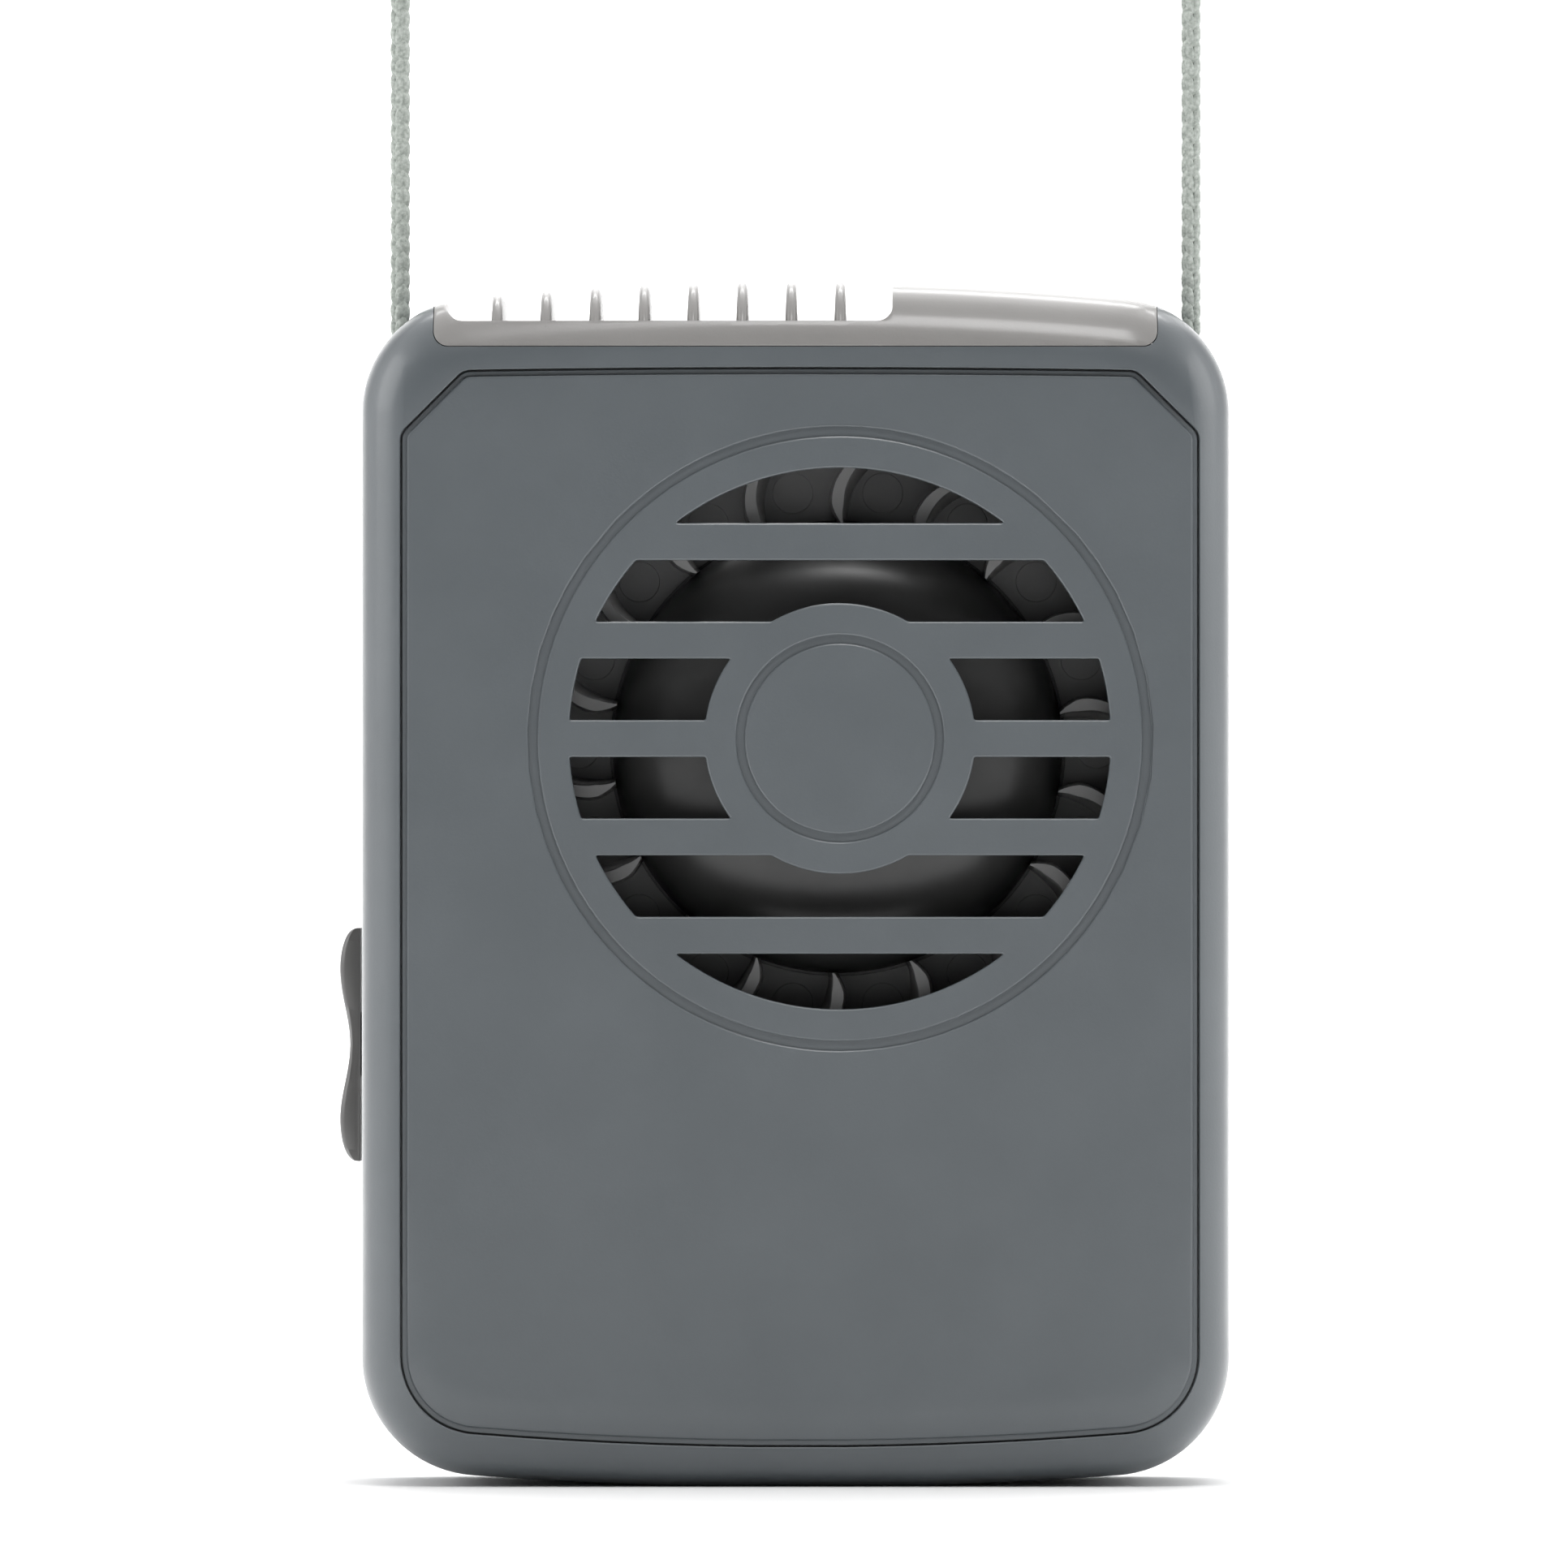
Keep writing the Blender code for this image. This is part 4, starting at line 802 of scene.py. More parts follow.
class FAN_OT_neck_cord(bpy.types.Operator):
    """Two taut strands of knitted cord, their knots and the breakaway clasp"""

    bl_idname = "fan.neck_cord"
    bl_label = "Neck cord"

    def execute(self, context):
        settings = context.scene.fan_cord
        yarn = knitted_polyester(settings.colour)
        clasp = spark_eroded_abs("moulded_clasp_abs", "5a5e61", "54585b")
        for side, word, half in ((-1, "left", "clasp_socket"), (1, "right", "clasp_plug")):
            low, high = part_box(f"cord_{word}")
            x, y = (low.x + high.x) / 2, (low.y + high.y) / 2
            mesh = self.knit(f"neck_cord_{word}", x, y, low.z, high.z + 0.5 * MM, settings, 0.35 + 0.5 * side)
            strand = finish_mesh(
                f"neck_cord_{word}", mesh, yarn, "root", [f"cord_{word}"], 60.0
            )
            self.knot(word, yarn)
            clasp_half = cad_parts[half]
            clasp_half.data.materials.clear()
            clasp_half.data.materials.append(clasp)
        return {"FINISHED"}

    def knit(self, name, x, y, bottom, top, settings, twist):
        """A tube of knitted stitches: columns of leaning yarn legs that meet in Vs."""
        radius = settings.diameter / 2
        yarn = 0.36 * radius
        core = [(0, bottom), (0.3 * radius, bottom), (0.3 * radius, top), (0, top)]
        meshes = [turned_mesh("core", core, (x, y, 0), "Z", 12)]
        rows = int((top - bottom) / settings.stitch) + 1
        points, faces = [], []
        for row in range(rows):
            foot = bottom + row * settings.stitch
            for wale in range(settings.wales):
                middle = FULL_TURN * (wale / settings.wales) + twist
                for lean in (-1, 1):
                    self.leg(points, faces, (x, y), radius, yarn, middle, lean, foot, settings, (bottom, top))
        meshes.append(mesh_from("legs", points, faces))
        return merged(name, meshes)

    def leg(self, points, faces, place, radius, yarn, middle, lean, foot, settings, span):
        """One leg of a stitch: a bowed, tapered length of yarn."""
        half_wale = math.pi / settings.wales
        stations, around = 7, 8
        start = len(points)
        height = 1.5 * settings.stitch
        for i in range(stations):
            share = i / (stations - 1)
            angle = middle + lean * half_wale * (0.08 + 0.84 * share ** 0.8)
            z = min(max(foot + height * share, span[0]), span[1])
            plump = math.sin(math.pi * (0.1 + 0.8 * share))
            out = radius - yarn * (1.75 - 0.75 * plump)
            thick = yarn * (0.45 + 0.55 * plump)
            radial = Vector((math.cos(angle), math.sin(angle), 0))
            tangent = Vector((-math.sin(angle), math.cos(angle), 0))
            centre = Vector((*place, z)) + radial * out
            for k in range(around):
                turn = FULL_TURN * k / around
                across = radial * math.cos(turn) + tangent * 1.25 * math.sin(turn)
                points.append(centre + thick * across)
        for i in range(stations - 1):
            for k in range(around):
                j = (k + 1) % around
                a, b = start + i * around, start + (i + 1) * around
                faces.append((a + k, a + j, b + j, b + k))
        faces.append(tuple(start + k for k in range(around)))
        last = start + (stations - 1) * around
        faces.append(tuple(last + around - 1 - k for k in range(around)))

    def knot(self, word, yarn):
        """An overhand knot: a fat cord wound round itself."""
        low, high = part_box(f"cord_knot_{word}")
        centre = (low + high) / 2
        size = (high.x - low.x) / 2
        points, faces = [], []
        steps, around = 64, 10
        for i in range(steps):
            t = FULL_TURN * i / steps
            bend = Vector((
                math.sin(t) + 2 * math.sin(2 * t), math.cos(t) - 2 * math.cos(2 * t), -math.sin(3 * t)
            )) / 3
            ahead = Vector((
                math.cos(t) + 4 * math.cos(2 * t), -math.sin(t) + 4 * math.sin(2 * t), -3 * math.cos(3 * t)
            )).normalized()
            side = ahead.cross(Vector((0, 0, 1))).normalized()
            up = side.cross(ahead)
            for k in range(around):
                turn = FULL_TURN * k / around
                ring = side * math.cos(turn) + up * math.sin(turn)
                points.append(centre + size * (0.6 * bend + 0.38 * ring))
        for i in range(steps):
            for k in range(around):
                a, b = i * around, (i + 1) % steps * around
                j = (k + 1) % around
                faces.append((a + k, a + j, b + j, b + k))
        mesh = mesh_from(f"knot_{word}", points, faces)
        finish_mesh(f"knot_{word}", mesh, yarn, "root", [f"cord_knot_{word}"], 60.0)


class FAN_OT_shells(bpy.types.Operator):
    """Front and rear halves of the case"""

    bl_idname = "fan.shells"
    bl_label = "Case halves"

    def execute(self, context):
        body, panel, vent = context.scene.fan_body, context.scene.fan_panel, context.scene.fan_vent
        look = case_material(body)
        self.front(body, panel, vent, look)
        self.rear(body, vent, look)
        return {"FINISHED"}

    def common_cuts(self, body):
        radius = (cord_high.x - cord_low.x) / 2 + body.gap
        holes = []
        for word in ("left", "right"):
            low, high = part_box(f"cord_{word}")
            centre = ((low.x + high.x) / 2, (low.y + high.y) / 2, 0)
            profile = [(0, low.z - 3 * MM), (radius, low.z - 3 * MM), (radius, body.top), (0, body.top)]
            holes.append(turned_mesh("cord_hole", profile, centre, "Z", 32))
        lever_low, lever_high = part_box("switch_lever")
        middle = (lever_low.y + lever_high.y) / 2
        low = (-body.half_width - MM, middle - 1.5 * MM, 38.4 * MM)
        high = (-body.half_width + 3.6 * MM, middle + 1.5 * MM, 49.0 * MM)
        return holes, box_mesh("switch_slot", low, high)

    def front(self, body, panel, vent, look):
        outer = body_outline(body)
        seam = shell_high.y
        lip = 0.12 * MM
        rings = [
            stood(body_outline(body, lip), seam), stood(outer, seam - lip),
        ] + fillet_rings(body, False, 14, 50)
        edge = [(x, z) for x, _, z in rings[-1]]
        rim = panel_outline(panel)
        for i in range(1, 10):
            share = i / 9
            mixed = [
                (a + (c - a) * share, b + (d - b) * share) for (a, b), (c, d) in zip(edge, rim)
            ]
            rings.append([(x, front_surface(body, (x, z), outer), z) for x, z in mixed])
        rim_ring = rings[-1]
        tight = panel_outline(panel, 0.1 * MM)
        rings.append([(x, y + 0.1 * MM, z) for (_, y, _), (x, z) in zip(rim_ring, tight)])
        ledge = panel.back + body.gap
        rings.append(stood(tight, ledge))
        opening = self.shrunk(panel, 2.2 * MM)
        rear = ledge + 0.8 * MM
        rings += [stood(opening, ledge), stood(opening, rear)]
        rings += [stood(body_outline(body, body.wall + 0.8 * MM), rear)]
        inside = body_outline(body, body.wall)
        rings += [stood(inside, rear + body.wall), stood(inside, seam)]
        mesh = ring_skin("front_case", rings, closed=True)
        holes, slot = self.common_cuts(body)
        steps = [("DIFFERENCE", vent_block(body, vent, body.hairline, body.front - 3 * MM, body.rear))]
        steps += [("DIFFERENCE", hole) for hole in holes] + [("DIFFERENCE", slot)]
        steps.append(("UNION", merged("bosses", self.columns(2.3 * MM, ledge + 0.4 * MM, seam - body.gap))))
        mesh = carved(mesh, steps)
        finish_mesh("front_case", mesh, look, "root", ["front_shell"])

    def shrunk(self, panel, inset):
        middle = (panel.top + panel.bottom) / 2
        wide = (panel.half_width - inset) / panel.half_width
        tall = 1 - 2 * inset / (panel.top - panel.bottom)
        return [
            (panel.middle + (x - panel.middle) * wide, middle + (z - middle) * tall)
            for x, z in panel_outline(panel)
        ]

    def columns(self, radius, start, end):
        made = []
        for i in range(1, 5):
            low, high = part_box(f"shell_screw_{i}")
            centre = ((low.x + high.x) / 2, 0, (low.z + high.z) / 2)
            profile = [(0, start), (radius, start), (radius, end), (0, end)]
            made.append(turned_mesh("column", profile, centre, "Y", 32))
        return made

    def rear(self, body, vent, look):
        seam = rear_low.y
        lip = 0.12 * MM
        outside = [stood(body_outline(body, lip), seam), stood(body_outline(body), seam + lip)]
        outside += fillet_rings(body, True, 20, 90)
        inside = [stood(body_outline(body, body.wall), seam)] + fillet_rings(body, True, 8, 90, body.wall)
        mesh = ring_skin("rear_case", outside[::-1] + inside)
        holes, slot = self.common_cuts(body)
        steps = [("DIFFERENCE", vent_block(body, vent, body.hairline, body.front, body.rear + 3 * MM))]
        inner = 0.6 * MM
        limit = fillet_rings(body, False, 8, 90, inner)[::-1] + fillet_rings(body, True, 8, 90, inner)
        bosses = merged("bosses", self.columns(3.05 * MM, seam + body.gap, body.rear - MM))
        steps.append(("UNION", carved(bosses, [("INTERSECT", ring_skin("boss_limit", limit))])))
        head = (screw_high.x - screw_low.x) / 2 + body.gap
        seat = screw_high.y - 2.2 * MM
        wells = self.columns(head, seat, body.rear + 2 * MM)
        steps.append(("DIFFERENCE", merged("wells", wells)))
        low = (door_low.x + 1.3 * MM - body.gap, 13.9 * MM, door_low.z - body.gap)
        high = (door_high.x - 1.3 * MM + body.gap, body.rear + 2 * MM, door_high.z + body.gap)
        steps.append(("DIFFERENCE", box_mesh("door_opening", low, high)))
        scoop = arc(0, door_high.z, 6 * MM, 0, 180, 32)
        scoop += [(-6 * MM, door_high.z - 2 * MM), (6 * MM, door_high.z - 2 * MM)]
        steps.append(("DIFFERENCE", prism_mesh("scoop", scoop, body.rear - 0.9 * MM, body.rear + MM)))
        steps.append(("DIFFERENCE", slot))
        mesh = carved(mesh, steps)
        finish_mesh("rear_case", mesh, look, "root", ["rear_shell"])
        for hole in holes:
            bpy.data.meshes.remove(hole)


class FAN_OT_front_panel(bpy.types.Operator):
    """The inset front panel with its slotted inlet and ring grooves"""

    bl_idname = "fan.front_panel"
    bl_label = "Front panel"

    def execute(self, context):
        panel, body = context.scene.fan_panel, context.scene.fan_body
        cx, cz = panel.grille_x, panel.grille_z
        meshes = [self.field(panel, cx, cz)]
        edge = 0.16 * MM
        slots = slot_loops(panel, cx, cz)
        eye = circle(cx, cz, panel.eye_outer)
        bars = [circle(cx, cz, panel.ring_inner), *slots, eye]
        meshes.append(plate_mesh("grille", bars, panel.face, panel.back, edge))
        meshes.append(plate_mesh("eye", [circle(cx, cz, panel.eye_inner)], panel.face, panel.back, edge))
        floor = panel.face + 0.38 * MM
        for inner, outer in ((panel.ring_inner, panel.ring_outer), (panel.eye_inner, panel.eye_outer)):
            loops = [circle(cx, cz, outer + 0.3 * MM), circle(cx, cz, inner - 0.3 * MM)]
            meshes.append(plate_mesh("groove_floor", loops, floor, panel.back - 0.1 * MM, 0.01 * MM))
        flange = [panel_outline(panel, body.gap), panel_outline(panel, 1.2 * MM)]
        start = panel.face + panel.groove_depth
        meshes.append(plate_mesh("flange", flange, start, panel.back - 0.1 * MM, 0.02 * MM))
        mesh = merged("front_panel_moulding", meshes)
        look = case_material(body)
        finish_mesh("front_panel_moulding", mesh, look, "root", ["front_panel"], 12.0)
        return {"FINISHED"}

    def field(self, panel, cx, cz):
        """The panel from its edge in to the large ring groove. Its lower edge rolls off softly."""
        middle = (panel.top + panel.bottom) / 2
        profile = ((0.0, 0.30), (0.03, 0.16), (0.08, 0.06), (0.16, 0.012), (0.25, 0.0))
        rings = [stood(panel_outline(panel, panel.groove), panel.back)]
        for inset, drop in profile:
            rings.append(stood(panel_outline(panel, panel.groove + inset * MM), panel.face + drop * MM))
        band, depth = 3.0 * MM, 0.34 * MM
        edge = panel_outline(panel, panel.groove + 0.25 * MM)
        outer = panel_outline(panel, panel.groove)
        ring_edge = 0.16 * MM
        hole = []
        for x, z in edge:
            angle = math.atan2(z - cz, x - cx)
            hole.append((cx + panel.ring_outer * math.cos(angle), cz + panel.ring_outer * math.sin(angle)))
        shares = [0.004, 0.01, 0.018, 0.028, 0.04, 0.055, 0.075, 0.1, 0.14, 0.2, 0.35, 0.6, 0.85, 0.97]
        rings_xz = [
            [(a + (c - a) * s, b + (d - b) * s) for (a, b), (c, d) in zip(edge, hole)] for s in shares
        ]
        for ring in rings_xz:
            rings.append(stood(ring, panel.face))
        for inset, drop in ((ring_edge, 0.0), (ring_edge * 0.3, 0.05 * MM), (0.0, ring_edge)):
            rings.append(self.circle_ring(hole, cx, cz, panel.ring_outer + inset, panel.face + drop))
        rings.append(self.circle_ring(hole, cx, cz, panel.ring_outer, panel.back))
        softened_rings = []
        for ring in rings[1:-1]:
            softened_rings.append([self.rolled(p, outer, middle, band, depth) for p in ring])
        rings = [rings[0], *softened_rings, rings[-1]]
        return ring_skin("field", rings, closed=True)

    def rolled(self, point, outer, middle, band, depth):
        """Drops a point near the lower edge, so that the panel rolls off towards its groove."""
        x, y, z = point
        low = max(0.0, min(1.0, (middle - 32 * MM - z) / (8 * MM)))
        if not low:
            return point
        share = max(0.0, 1 - edge_distance((x, z), outer) / band)
        return x, y + depth * low * share ** 2.2, z

    def circle_ring(self, hole, cx, cz, radius, y):
        ring = []
        for x, z in hole:
            angle = math.atan2(z - cz, x - cx)
            ring.append((cx + radius * math.cos(angle), y, cz + radius * math.sin(angle)))
        return ring


class FAN_OT_outlet_vent(bpy.types.Operator):
    """The warm grey crown with its fins and closed cap"""

    bl_idname = "fan.outlet_vent"
    bl_label = "Outlet vent"

    def execute(self, context):
        body, vent = context.scene.fan_body, context.scene.fan_vent
        look = spark_eroded_abs("moulded_warm_grey_abs", vent.colour, "82807e")
        crown = fillet_rings(body, False, 18, 90)[::-1] + fillet_rings(body, True, 18, 90)
        block = vent_block(body, vent, 0.0, body.front - 2 * MM, body.rear + 2 * MM)
        r = vent.notch_round
        notch = [(vent.notch_right, body.top + 2 * MM), (vent.notch_left, body.top + 2 * MM)]
        notch += arc(vent.notch_left + r, vent.notch_floor + r, r, 180, 270, 8)
        notch += arc(vent.notch_right - r, vent.notch_floor + r, r, 270, 360, 8)
        mouth_low = (vent.notch_left + 2 * MM, vent.mouth_front, vent.bottom - 4 * MM)
        mouth_high = (vent.notch_right - 2 * MM, vent.mouth_rear, vent.notch_floor + 4 * MM)
        cap_low = (vent.notch_right + body.wall, body.front + 3.5 * MM, vent.bottom - 4 * MM)
        cap_high = (vent.half_width - body.wall, body.rear - 3.5 * MM, body.top - 4 * MM)
        steps = [
            ("INTERSECT", ring_skin("crown", crown)),
            ("DIFFERENCE", prism_mesh("notch", notch, body.front - 4 * MM, body.rear + 4 * MM)),
            ("DIFFERENCE", box_mesh("mouth", mouth_low, mouth_high)),
            ("DIFFERENCE", box_mesh("cap_hollow", cap_low, cap_high)),
        ]
        shell = softened(carved(block, steps), 0.18 * MM)
        fins = [self.fin(body, vent, vent.fin_first + i * vent.fin_pitch) for i in range(vent.fin_count)]
        mesh = merged("vent_moulding", [shell, *fins])
        finish_mesh("vent_moulding", mesh, look, "root", ["outlet_vent"])
        return {"FINISHED"}

    def crown_line(self, body, vent, x):
        """Stations over the crown at one fin: (depth, height, outward slope)."""
        top = body.top - body.arch + math.sqrt(body.arch ** 2 - x ** 2)
        stations = []
        limit = math.degrees(math.acos(1 - (top - vent.notch_floor + 0.6 * MM) / body.fillet))
        for i in range(11):
            turn = math.radians(limit * (1 - i / 10))
            y = body.front + body.fillet * (1 - math.sin(turn))
            stations.append((y, top - body.fillet * (1 - math.cos(turn)), turn))
        front_end, rear_start = body.front + body.fillet, body.rear - body.fillet
        for i in range(1, 6):
            stations.append((front_end + (rear_start - front_end) * i / 6, top, 0.0))
        rear = []
        for y, z, turn in stations[:11][::-1]:
            rear.append((body.rear - (y - body.front), z, -turn))
        return stations + rear

    def fin(self, body, vent, x):
        """A thin blade with a round tip that follows the crown."""
        half_tip, half_root = vent.fin_tip / 2, vent.fin_root / 2
        rings = []
        steps = 8
        for y, z, turn in self.crown_line(body, vent, x):
            out = Vector((0, -math.sin(turn), math.cos(turn)))
            inside = vent.mouth_front < y < vent.mouth_rear
            foot_z = vent.bottom - 0.8 * MM if inside else vent.bottom + 0.5 * MM
            ring = [(x - half_root, y, foot_z)]
            for i in range(steps + 1):
                angle = math.pi * i / steps
                side = -half_tip * math.cos(angle)
                lift = half_tip * (math.sin(angle) - 1)
                ring.append((x + side, y + out.y * lift, z + out.z * lift))
            ring.append((x + half_root, y, foot_z))
            rings.append(ring)
        return ring_skin("fin", rings)


class FAN_OT_impeller(bpy.types.Operator):
    """The blower wheel: domed hub, back plate and forward-curved blades"""

    bl_idname = "fan.impeller"
    bl_label = "Impeller"

    def execute(self, context):
        wheel = context.scene.fan_wheel
        cx, cz = wheel_centre()
        look = polished_abs("polished_grey_abs", wheel.colour, "727272")
        meshes = [self.hub(wheel, (cx, 0, cz))]
        for i in range(wheel.blades):
            meshes.append(self.blade(wheel, cx, cz, math.radians(90 + 360 * i / wheel.blades)))
            turn = math.radians(100 + 360 * i / wheel.blades)
            middle = (wheel.inner + wheel.outer) / 2 + 0.2 * MM
            place = (cx + middle * math.cos(turn), 0, cz + middle * math.sin(turn))
            start = wheel.plate
            proud, sunk = start - 0.1 * MM, start + 0.1 * MM
            mark = [(0, proud), (1.9 * MM, proud), (2.0 * MM, sunk), (0, sunk)]
            meshes.append(turned_mesh("ejector_mark", mark, place, "Y", 24))
        mesh = merged("blower_wheel", meshes)
        piece = finish_mesh("blower_wheel", mesh, look, "rotor", ["impeller"])
        self.darken_dome(piece.data, wheel, cx, cz)
        return {"FINISHED"}

    def darken_dome(self, mesh, wheel, cx, cz):
        """The domed hub is a darker, glossier moulding than the blades round it."""
        mesh.materials.append(polished_abs("polished_charcoal_abs", "444444", "3a3a3a"))
        for face in mesh.polygons:
            if math.hypot(face.center.x - cx, face.center.z - cz) < wheel.dome - 0.1 * MM:
                face.material_index = 1

    def dome(self, radius, rise, base, steps, power=3.0):
        points = []
        for i in range(steps + 1):
            turn = math.radians(90 * i / steps)
            out = radius * math.sin(turn) ** (2 / power)
            up = rise * math.cos(turn) ** (2 / power) if i < steps else 0.0
            points.append((out, base - up))
        return points

    def hub(self, wheel, centre):
        wall = 1.2 * MM
        edge = 0.25 * MM
        foot = wheel.plate - 0.02 * MM
        outside = self.dome(wheel.dome - 0.3 * MM, foot - wheel.crown, foot, 28)
        inside = self.dome(wheel.dome - wall, foot - wheel.crown - wall, foot, 14)
        sunk = wheel.plate + 0.5 * MM
        step = [(wheel.dome - 0.3 * MM, sunk), (wheel.dome, sunk), (wheel.dome, wheel.plate)]
        radius = (wheel_high.x - wheel_low.x) / 2
        rim = [(radius - edge, wheel.plate), (radius, wheel.plate + edge), (radius, wheel.plate_rear)]
        back = [(wheel.dome - wall, wheel.plate_rear)] + [p for p in inside[::-1] if p[0] > 5 * MM]
        boss = [(3 * MM, wheel.crown + wall), (3 * MM, -10 * MM)]
        boss += [(1.3 * MM, -10 * MM), (1.3 * MM, -11.7 * MM), (0, -11.7 * MM)]
        return turned_mesh("hub", outside + step + rim + back + boss, centre, "Y", 96)

    def blade(self, wheel, cx, cz, turn):
        """A crescent, hollow on its clockwise side and thin at its inner end, that thickens to its root."""
        steps = 14
        rings = []
        span = wheel.plate + 0.3 * MM - wheel.front
        stations = ((0.0, 0.1, 0.0), (0.08, 0.0, 0.0), (0.25, 0.0, 0.25), (0.6, 0.0, 0.6), (1.0, 0.0, 1.0))
        for depth, trim, root in stations:
            face, back = [], []
            for i in range(steps + 1):
                share = i / steps
                radius = wheel.inner + (wheel.outer - wheel.inner) * share
                bend = math.sqrt(wheel.curve ** 2 - (radius - wheel.apex) ** 2) - wheel.curve
                half = wheel.thick / 2 * min(1.0, 0.22 + 2.6 * share) - trim * MM * 0.5
                swept = root * (0.35 + 1.1 * share ** 1.5) * MM
                face.append((radius, bend - half - swept))
                back.append((radius, bend + half + 0.25 * root * MM))
            cos, sin = math.cos(turn), math.sin(turn)
            outline = [(cx + r * cos - t * sin, cz + r * sin + t * cos) for r, t in face + back[::-1]]
            rings.append(stood(outline, wheel.front + depth * (span if depth > 0.1 else MM)))
        return ring_skin("blade", rings)


class FAN_OT_switch_knob(bpy.types.Operator):
    """The slide knob with its two bumps"""

    bl_idname = "fan.switch_knob"
    bl_label = "Switch knob"

    def execute(self, context):
        look = spark_eroded_abs("moulded_dark_grey_abs", "545352", "4e4d4c", 0.42)
        middle_z = (knob_low.z + knob_high.z) / 2
        half = (knob_high.z - knob_low.z) / 2
        middle_y = (knob_low.y + knob_high.y) / 2
        half_depth = (knob_high.y - knob_low.y) / 2
        side = -context.scene.fan_body.half_width - context.scene.fan_body.gap
        rings = []
        steps, across = 64, 14
        for i in range(across + 1):
            turn = math.pi * i / across
            y = middle_y - half_depth * math.cos(turn)
            share = min(1.0, 0.25 + 1.05 * math.sin(turn) ** 0.5) if 0 < i < across else 0.25
            ring = []
            for k in range(steps + 1):
                z = middle_z + half * math.sin(math.radians(-90 + 180 * k / steps))
                ring.append((side - (self.height(z, middle_z, half) - 0.3 * MM) * share, y, z))
            ring += [(side, y, middle_z + half), (side, y, middle_z - half)]
            rings.append(ring)
        meshes = [ring_skin("cap", rings)]
        lever_low, lever_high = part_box("switch_lever")
        y = (lever_low.y + lever_high.y) / 2
        low, high = (side - 0.3 * MM, y - 1.2 * MM, 38.7 * MM), (-38.6 * MM, y + 1.2 * MM, 44.7 * MM)
        meshes.append(box_mesh("stem", low, high))
        low, high = (-39.0 * MM, y - 2.5 * MM, 36.7 * MM), (-38.0 * MM, y + 2.5 * MM, 46.7 * MM)
        meshes.append(box_mesh("flange", low, high))
        mesh = merged("slide_knob", meshes)
        finish_mesh("slide_knob", mesh, look, "slider", ["switch_knob"], 40.0)
        return {"FINISHED"}

    def height(self, z, middle, half):
        bump, waist, tall, edge = 7.2 * MM, 1.35 * MM, 2.3 * MM, 0.75 * MM
        offset = abs(z - middle)
        if offset <= bump:
            return waist + (tall - waist) * math.sin(math.pi * offset / (2 * bump)) ** 2
        share = min(1.0, (offset - bump) / (half - bump))
        return edge + (tall - edge) * math.sqrt(1 - share ** 2)


class FAN_OT_battery_door(bpy.types.Operator):
    """The ribbed battery door in the back"""

    bl_idname = "fan.battery_door"
    bl_label = "Battery door"

    def execute(self, context):
        body = context.scene.fan_body
        pin = 1.3 * MM
        hinge_y, hinge_z, knuckle = 18.4 * MM, 7.6 * MM, 1.1 * MM
        left, right = door_low.x + pin, door_high.x - pin
        section = [(door_high.y, hinge_z), (door_high.y, door_high.z)]
        section += [(17.9 * MM, door_high.z), (17.9 * MM, hinge_z + MM)]
        section += arc(hinge_y, hinge_z, knuckle, 150, 360, 20)[:-1]
        rings = [[(x, y, z) for y, z in section] for x in (left, right)]
        slab = softened(ring_skin("slab", rings), 0.2 * MM, 50.0, 3)
        meshes = [slab]
        profile = [(0, left - pin), (0.6 * MM, left - pin), (0.6 * MM, right + pin), (0, right + pin)]
        meshes.append(turned_mesh("pins", profile, (0, hinge_y, hinge_z), "X", 24))
        for i in range(5):
            z = door_high.z - (3.2 + 1.5 * i) * MM
            meshes.append(self.rib(z, (7.5 - 0.9 * i) * MM, door_high.y - 0.15 * MM))
        mesh = merged("ribbed_door", meshes)
        finish_mesh("ribbed_door", mesh, case_material(body), "door", ["battery_door"])
        return {"FINISHED"}

    def rib(self, z, half, y):
        """A low round-ended grip rib."""
        rings = []
        for out, lift in ((1.0, 0.0), (1.0, 0.25), (0.8, 0.42), (0.4, 0.5)):
            r = 0.4 * MM * out
            outline = arc(half, z, r, -90, 90, 8) + arc(-half, z, r, 90, 270, 8)
            rings.append(stood(outline, y + lift * MM))
        return ring_skin("rib", rings)


class FAN_OT_screws(bpy.types.Operator):
    """Four cross-head screws deep in the back"""

    bl_idname = "fan.screws"
    bl_label = "Case screws"

    def execute(self, context):
        look = zinc_plated_steel()
        for i in range(1, 5):
            low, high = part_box(f"shell_screw_{i}")
            cx, cz = (low.x + high.x) / 2, (low.z + high.z) / 2
            seat = high.y - 1.6 * MM
            shank, head = 1.05 * MM, (high.x - low.x) / 2
            profile = [(0, low.y), (0.35 * MM, low.y), (shank, low.y + 1.5 * MM)]
            core, pitch = 0.8 * MM, 0.9 * MM
            y = low.y + 1.5 * MM
            while y < seat - 1.4 * MM:
                profile += [(shank, y + 0.2 * MM), (core, y + 0.35 * MM)]
                profile += [(core, y + 0.75 * MM), (shank, y + pitch)]
                y += pitch
            profile += [(shank, seat), (head, seat), (head, high.y - 0.5 * MM)]
            profile += [(head - 0.25 * MM, high.y - 0.2 * MM), (head - 0.7 * MM, high.y), (0, high.y)]
            screw = turned_mesh("screw", profile, (cx, 0, cz), "Y", 32)
            cross = []
            for wide, tall in ((1.1, 0.22), (0.22, 1.1)):
                start = (cx - wide * MM, high.y - 0.9 * MM, cz - tall * MM)
                cross.append(box_mesh("cross", start, (cx + wide * MM, high.y + MM, cz + tall * MM)))
            mesh = carved(screw, [("DIFFERENCE", tool) for tool in cross])
            finish_mesh(f"cross_head_screw_{i}", mesh, look, "root", [f"shell_screw_{i}"])
        return {"FINISHED"}


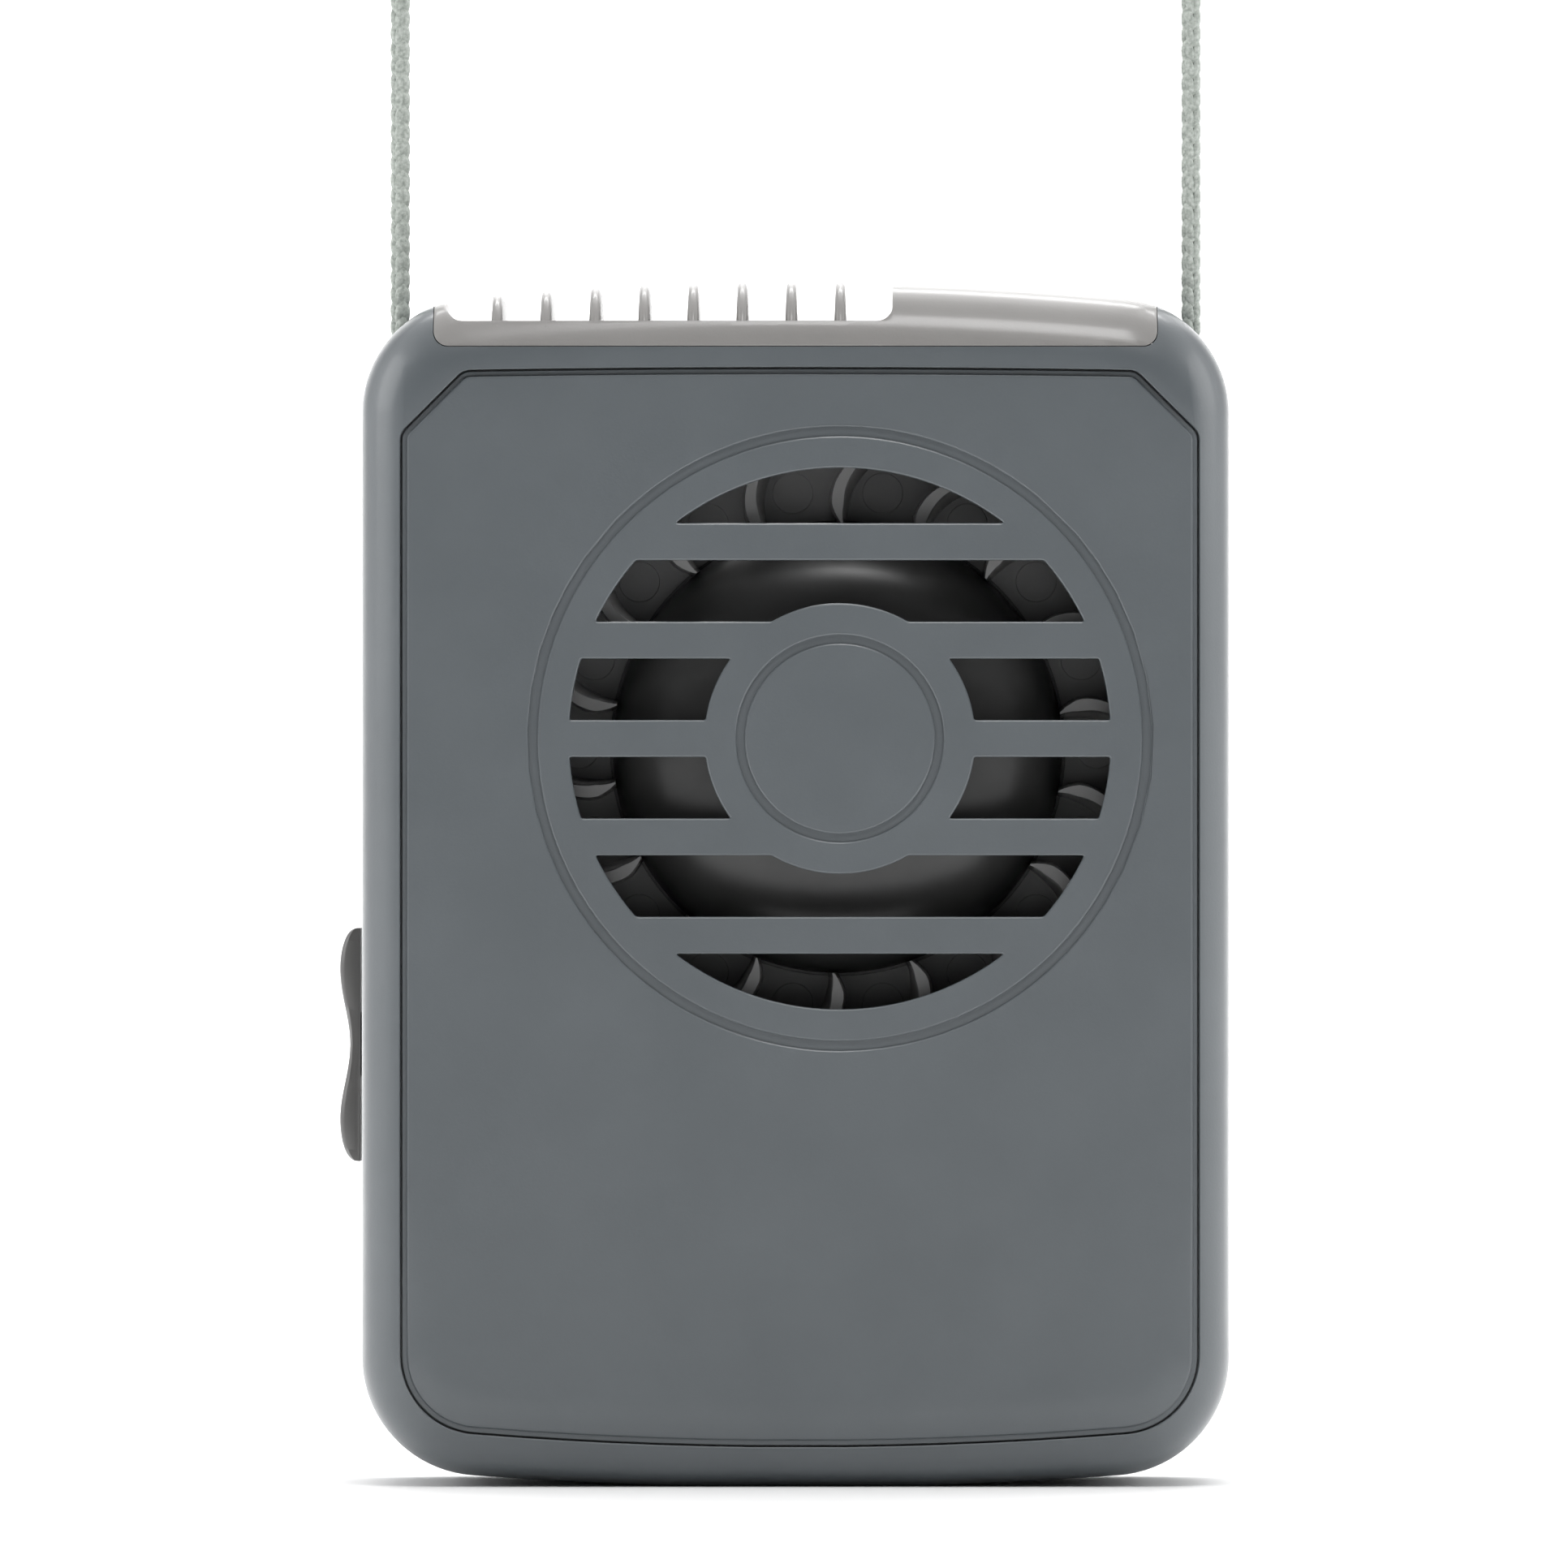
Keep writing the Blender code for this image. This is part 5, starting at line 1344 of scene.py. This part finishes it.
class FAN_OT_cells(bpy.types.Operator):
    """Two AA cells: a film sleeve that laps over the steel ends, and a positive nub"""

    bl_idname = "fan.cells"
    bl_label = "Cells"

    def execute(self, context):
        sleeve = shrink_sleeve()
        steel = bpy.data.materials.get("zinc_plated_steel") or zinc_plated_steel()
        for place, facing in (("upper", -1), ("lower", 1)):
            low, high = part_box(f"battery_{place}")
            centre = (0, (low.y + high.y) / 2, (low.z + high.z) / 2)
            radius = (high.z - low.z) / 2
            tip, base = (high.x, low.x) if facing > 0 else (low.x, high.x)
            mesh = turned_mesh("cell", self.profile(radius, tip, base, facing), centre, "X", 96)
            finish_mesh(f"aa_cell_{place}", mesh, sleeve, "root", [f"battery_{place}"])
            mesh.materials.append(steel)
            for face in mesh.polygons:
                from_axis = math.hypot(face.center.y - centre[1], face.center.z - centre[2])
                if from_axis < radius - 1.6 * MM:
                    face.material_index = 1
        return {"FINISHED"}

    def profile(self, radius, tip, base, facing):
        """From the flat end to the nub: (distance from the axis, place along it)."""
        shoulder, nub = tip - facing * 1.2 * MM, 2.7 * MM
        lap, film = 1.5 * MM, 0.12 * MM
        flat_end = [
            (0, 0.3), (radius - lap - film, 0.3), (radius - lap, 0.12),
            (radius - 0.6 * MM, 0), (radius - 0.15 * MM, 0.2), (radius, 0.6),
        ]
        made = [(r, base + facing * depth * MM) for r, depth in flat_end]
        made += [(r, shoulder - facing * depth * MM) for r, depth in flat_end[:0:-1]]
        return made + [
            (nub + 0.3 * MM, shoulder - facing * 0.3 * MM), (nub, shoulder),
            (nub, tip - facing * 0.3 * MM), (nub - 0.3 * MM, tip), (0, tip),
        ]


class FAN_OT_inner_pieces(bpy.types.Operator):
    """Finishes for the motor, scroll, cell tray and contacts, switch and wires inside"""

    bl_idname = "fan.inner_pieces"
    bl_label = "Inner pieces"

    def execute(self, context):
        dark = spark_eroded_abs("moulded_charcoal_abs", "3c3f42", "36393c")
        zinc = bpy.data.materials.get("zinc_plated_steel") or zinc_plated_steel()
        nickel = nickel_plated_spring_steel()
        red = extruded_pvc("red_pvc_insulation", "a01c18", "8a1714")
        looks = {
            dark: ["scroll_housing", "battery_tray"],
            zinc: ["motor_can", "motor_shaft", "switch_body"],
            nickel: [
                "motor_terminal_positive", "motor_terminal_negative", "contact_positive", "contact_negative",
                "contact_bridge", "contact_spring_lower", "contact_spring_upper",
                "switch_pin_1", "switch_pin_2", "switch_pin_3",
            ],
            sintered_bronze(): ["motor_bushing"],
            enamelled_copper(): ["motor_armature"],
            sintered_ferrite(): ["motor_magnet_left", "motor_magnet_right"],
            moulded_nylon("white_moulded_nylon", "d8d6cc", "cbc8bc"): ["motor_end_cap"],
            moulded_nylon("black_moulded_nylon", "1c1c1d", "161617"): ["switch_lever"],
            resistor_lacquer(): ["speed_resistor"],
            red: ["wire_battery_positive", "wire_motor_feed"],
            extruded_pvc("black_pvc_insulation", "18181a", "101012"): ["wire_battery_negative"],
        }
        for look, names in looks.items():
            for name in names:
                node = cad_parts[name]
                node.data.materials.clear()
                node.data.materials.append(look)
        return {"FINISHED"}


OPERATORS = (
    FAN_OT_stage,
    FAN_OT_neck_cord,
    FAN_OT_shells,
    FAN_OT_front_panel,
    FAN_OT_outlet_vent,
    FAN_OT_impeller,
    FAN_OT_switch_knob,
    FAN_OT_battery_door,
    FAN_OT_screws,
    FAN_OT_cells,
    FAN_OT_inner_pieces,
)


class FAN_PT_pieces(bpy.types.Panel):
    """The fan's pieces, in the order they are made"""

    bl_idname = "FAN_PT_pieces"
    bl_label = "Necklace Fan"
    bl_space_type = "VIEW_3D"
    bl_region_type = "UI"
    bl_category = "Necklace Fan"

    def draw(self, context):
        for operator in OPERATORS:
            self.layout.operator(operator.bl_idname, text=operator.bl_label)
        for name, group in GROUPS.items():
            box = self.layout.box()
            box.label(text=group.__doc__)
            for key in group.__annotations__:
                box.prop(getattr(context.scene, name), key)


def register():
    for group in GROUPS.values():
        bpy.utils.register_class(group)
    for name, group in GROUPS.items():
        setattr(bpy.types.Scene, name, bpy.props.PointerProperty(type=group))
    for operator in OPERATORS:
        bpy.utils.register_class(operator)
    bpy.utils.register_class(FAN_PT_pieces)


def unregister():
    bpy.utils.unregister_class(FAN_PT_pieces)
    for operator in reversed(OPERATORS):
        bpy.utils.unregister_class(operator)
    for name, group in GROUPS.items():
        delattr(bpy.types.Scene, name)
        bpy.utils.unregister_class(group)


def main():
    register()
    for operator in OPERATORS:
        family, action = operator.bl_idname.split(".")
        getattr(getattr(bpy.ops, family), action)()


if __name__ == "__main__":
    main()
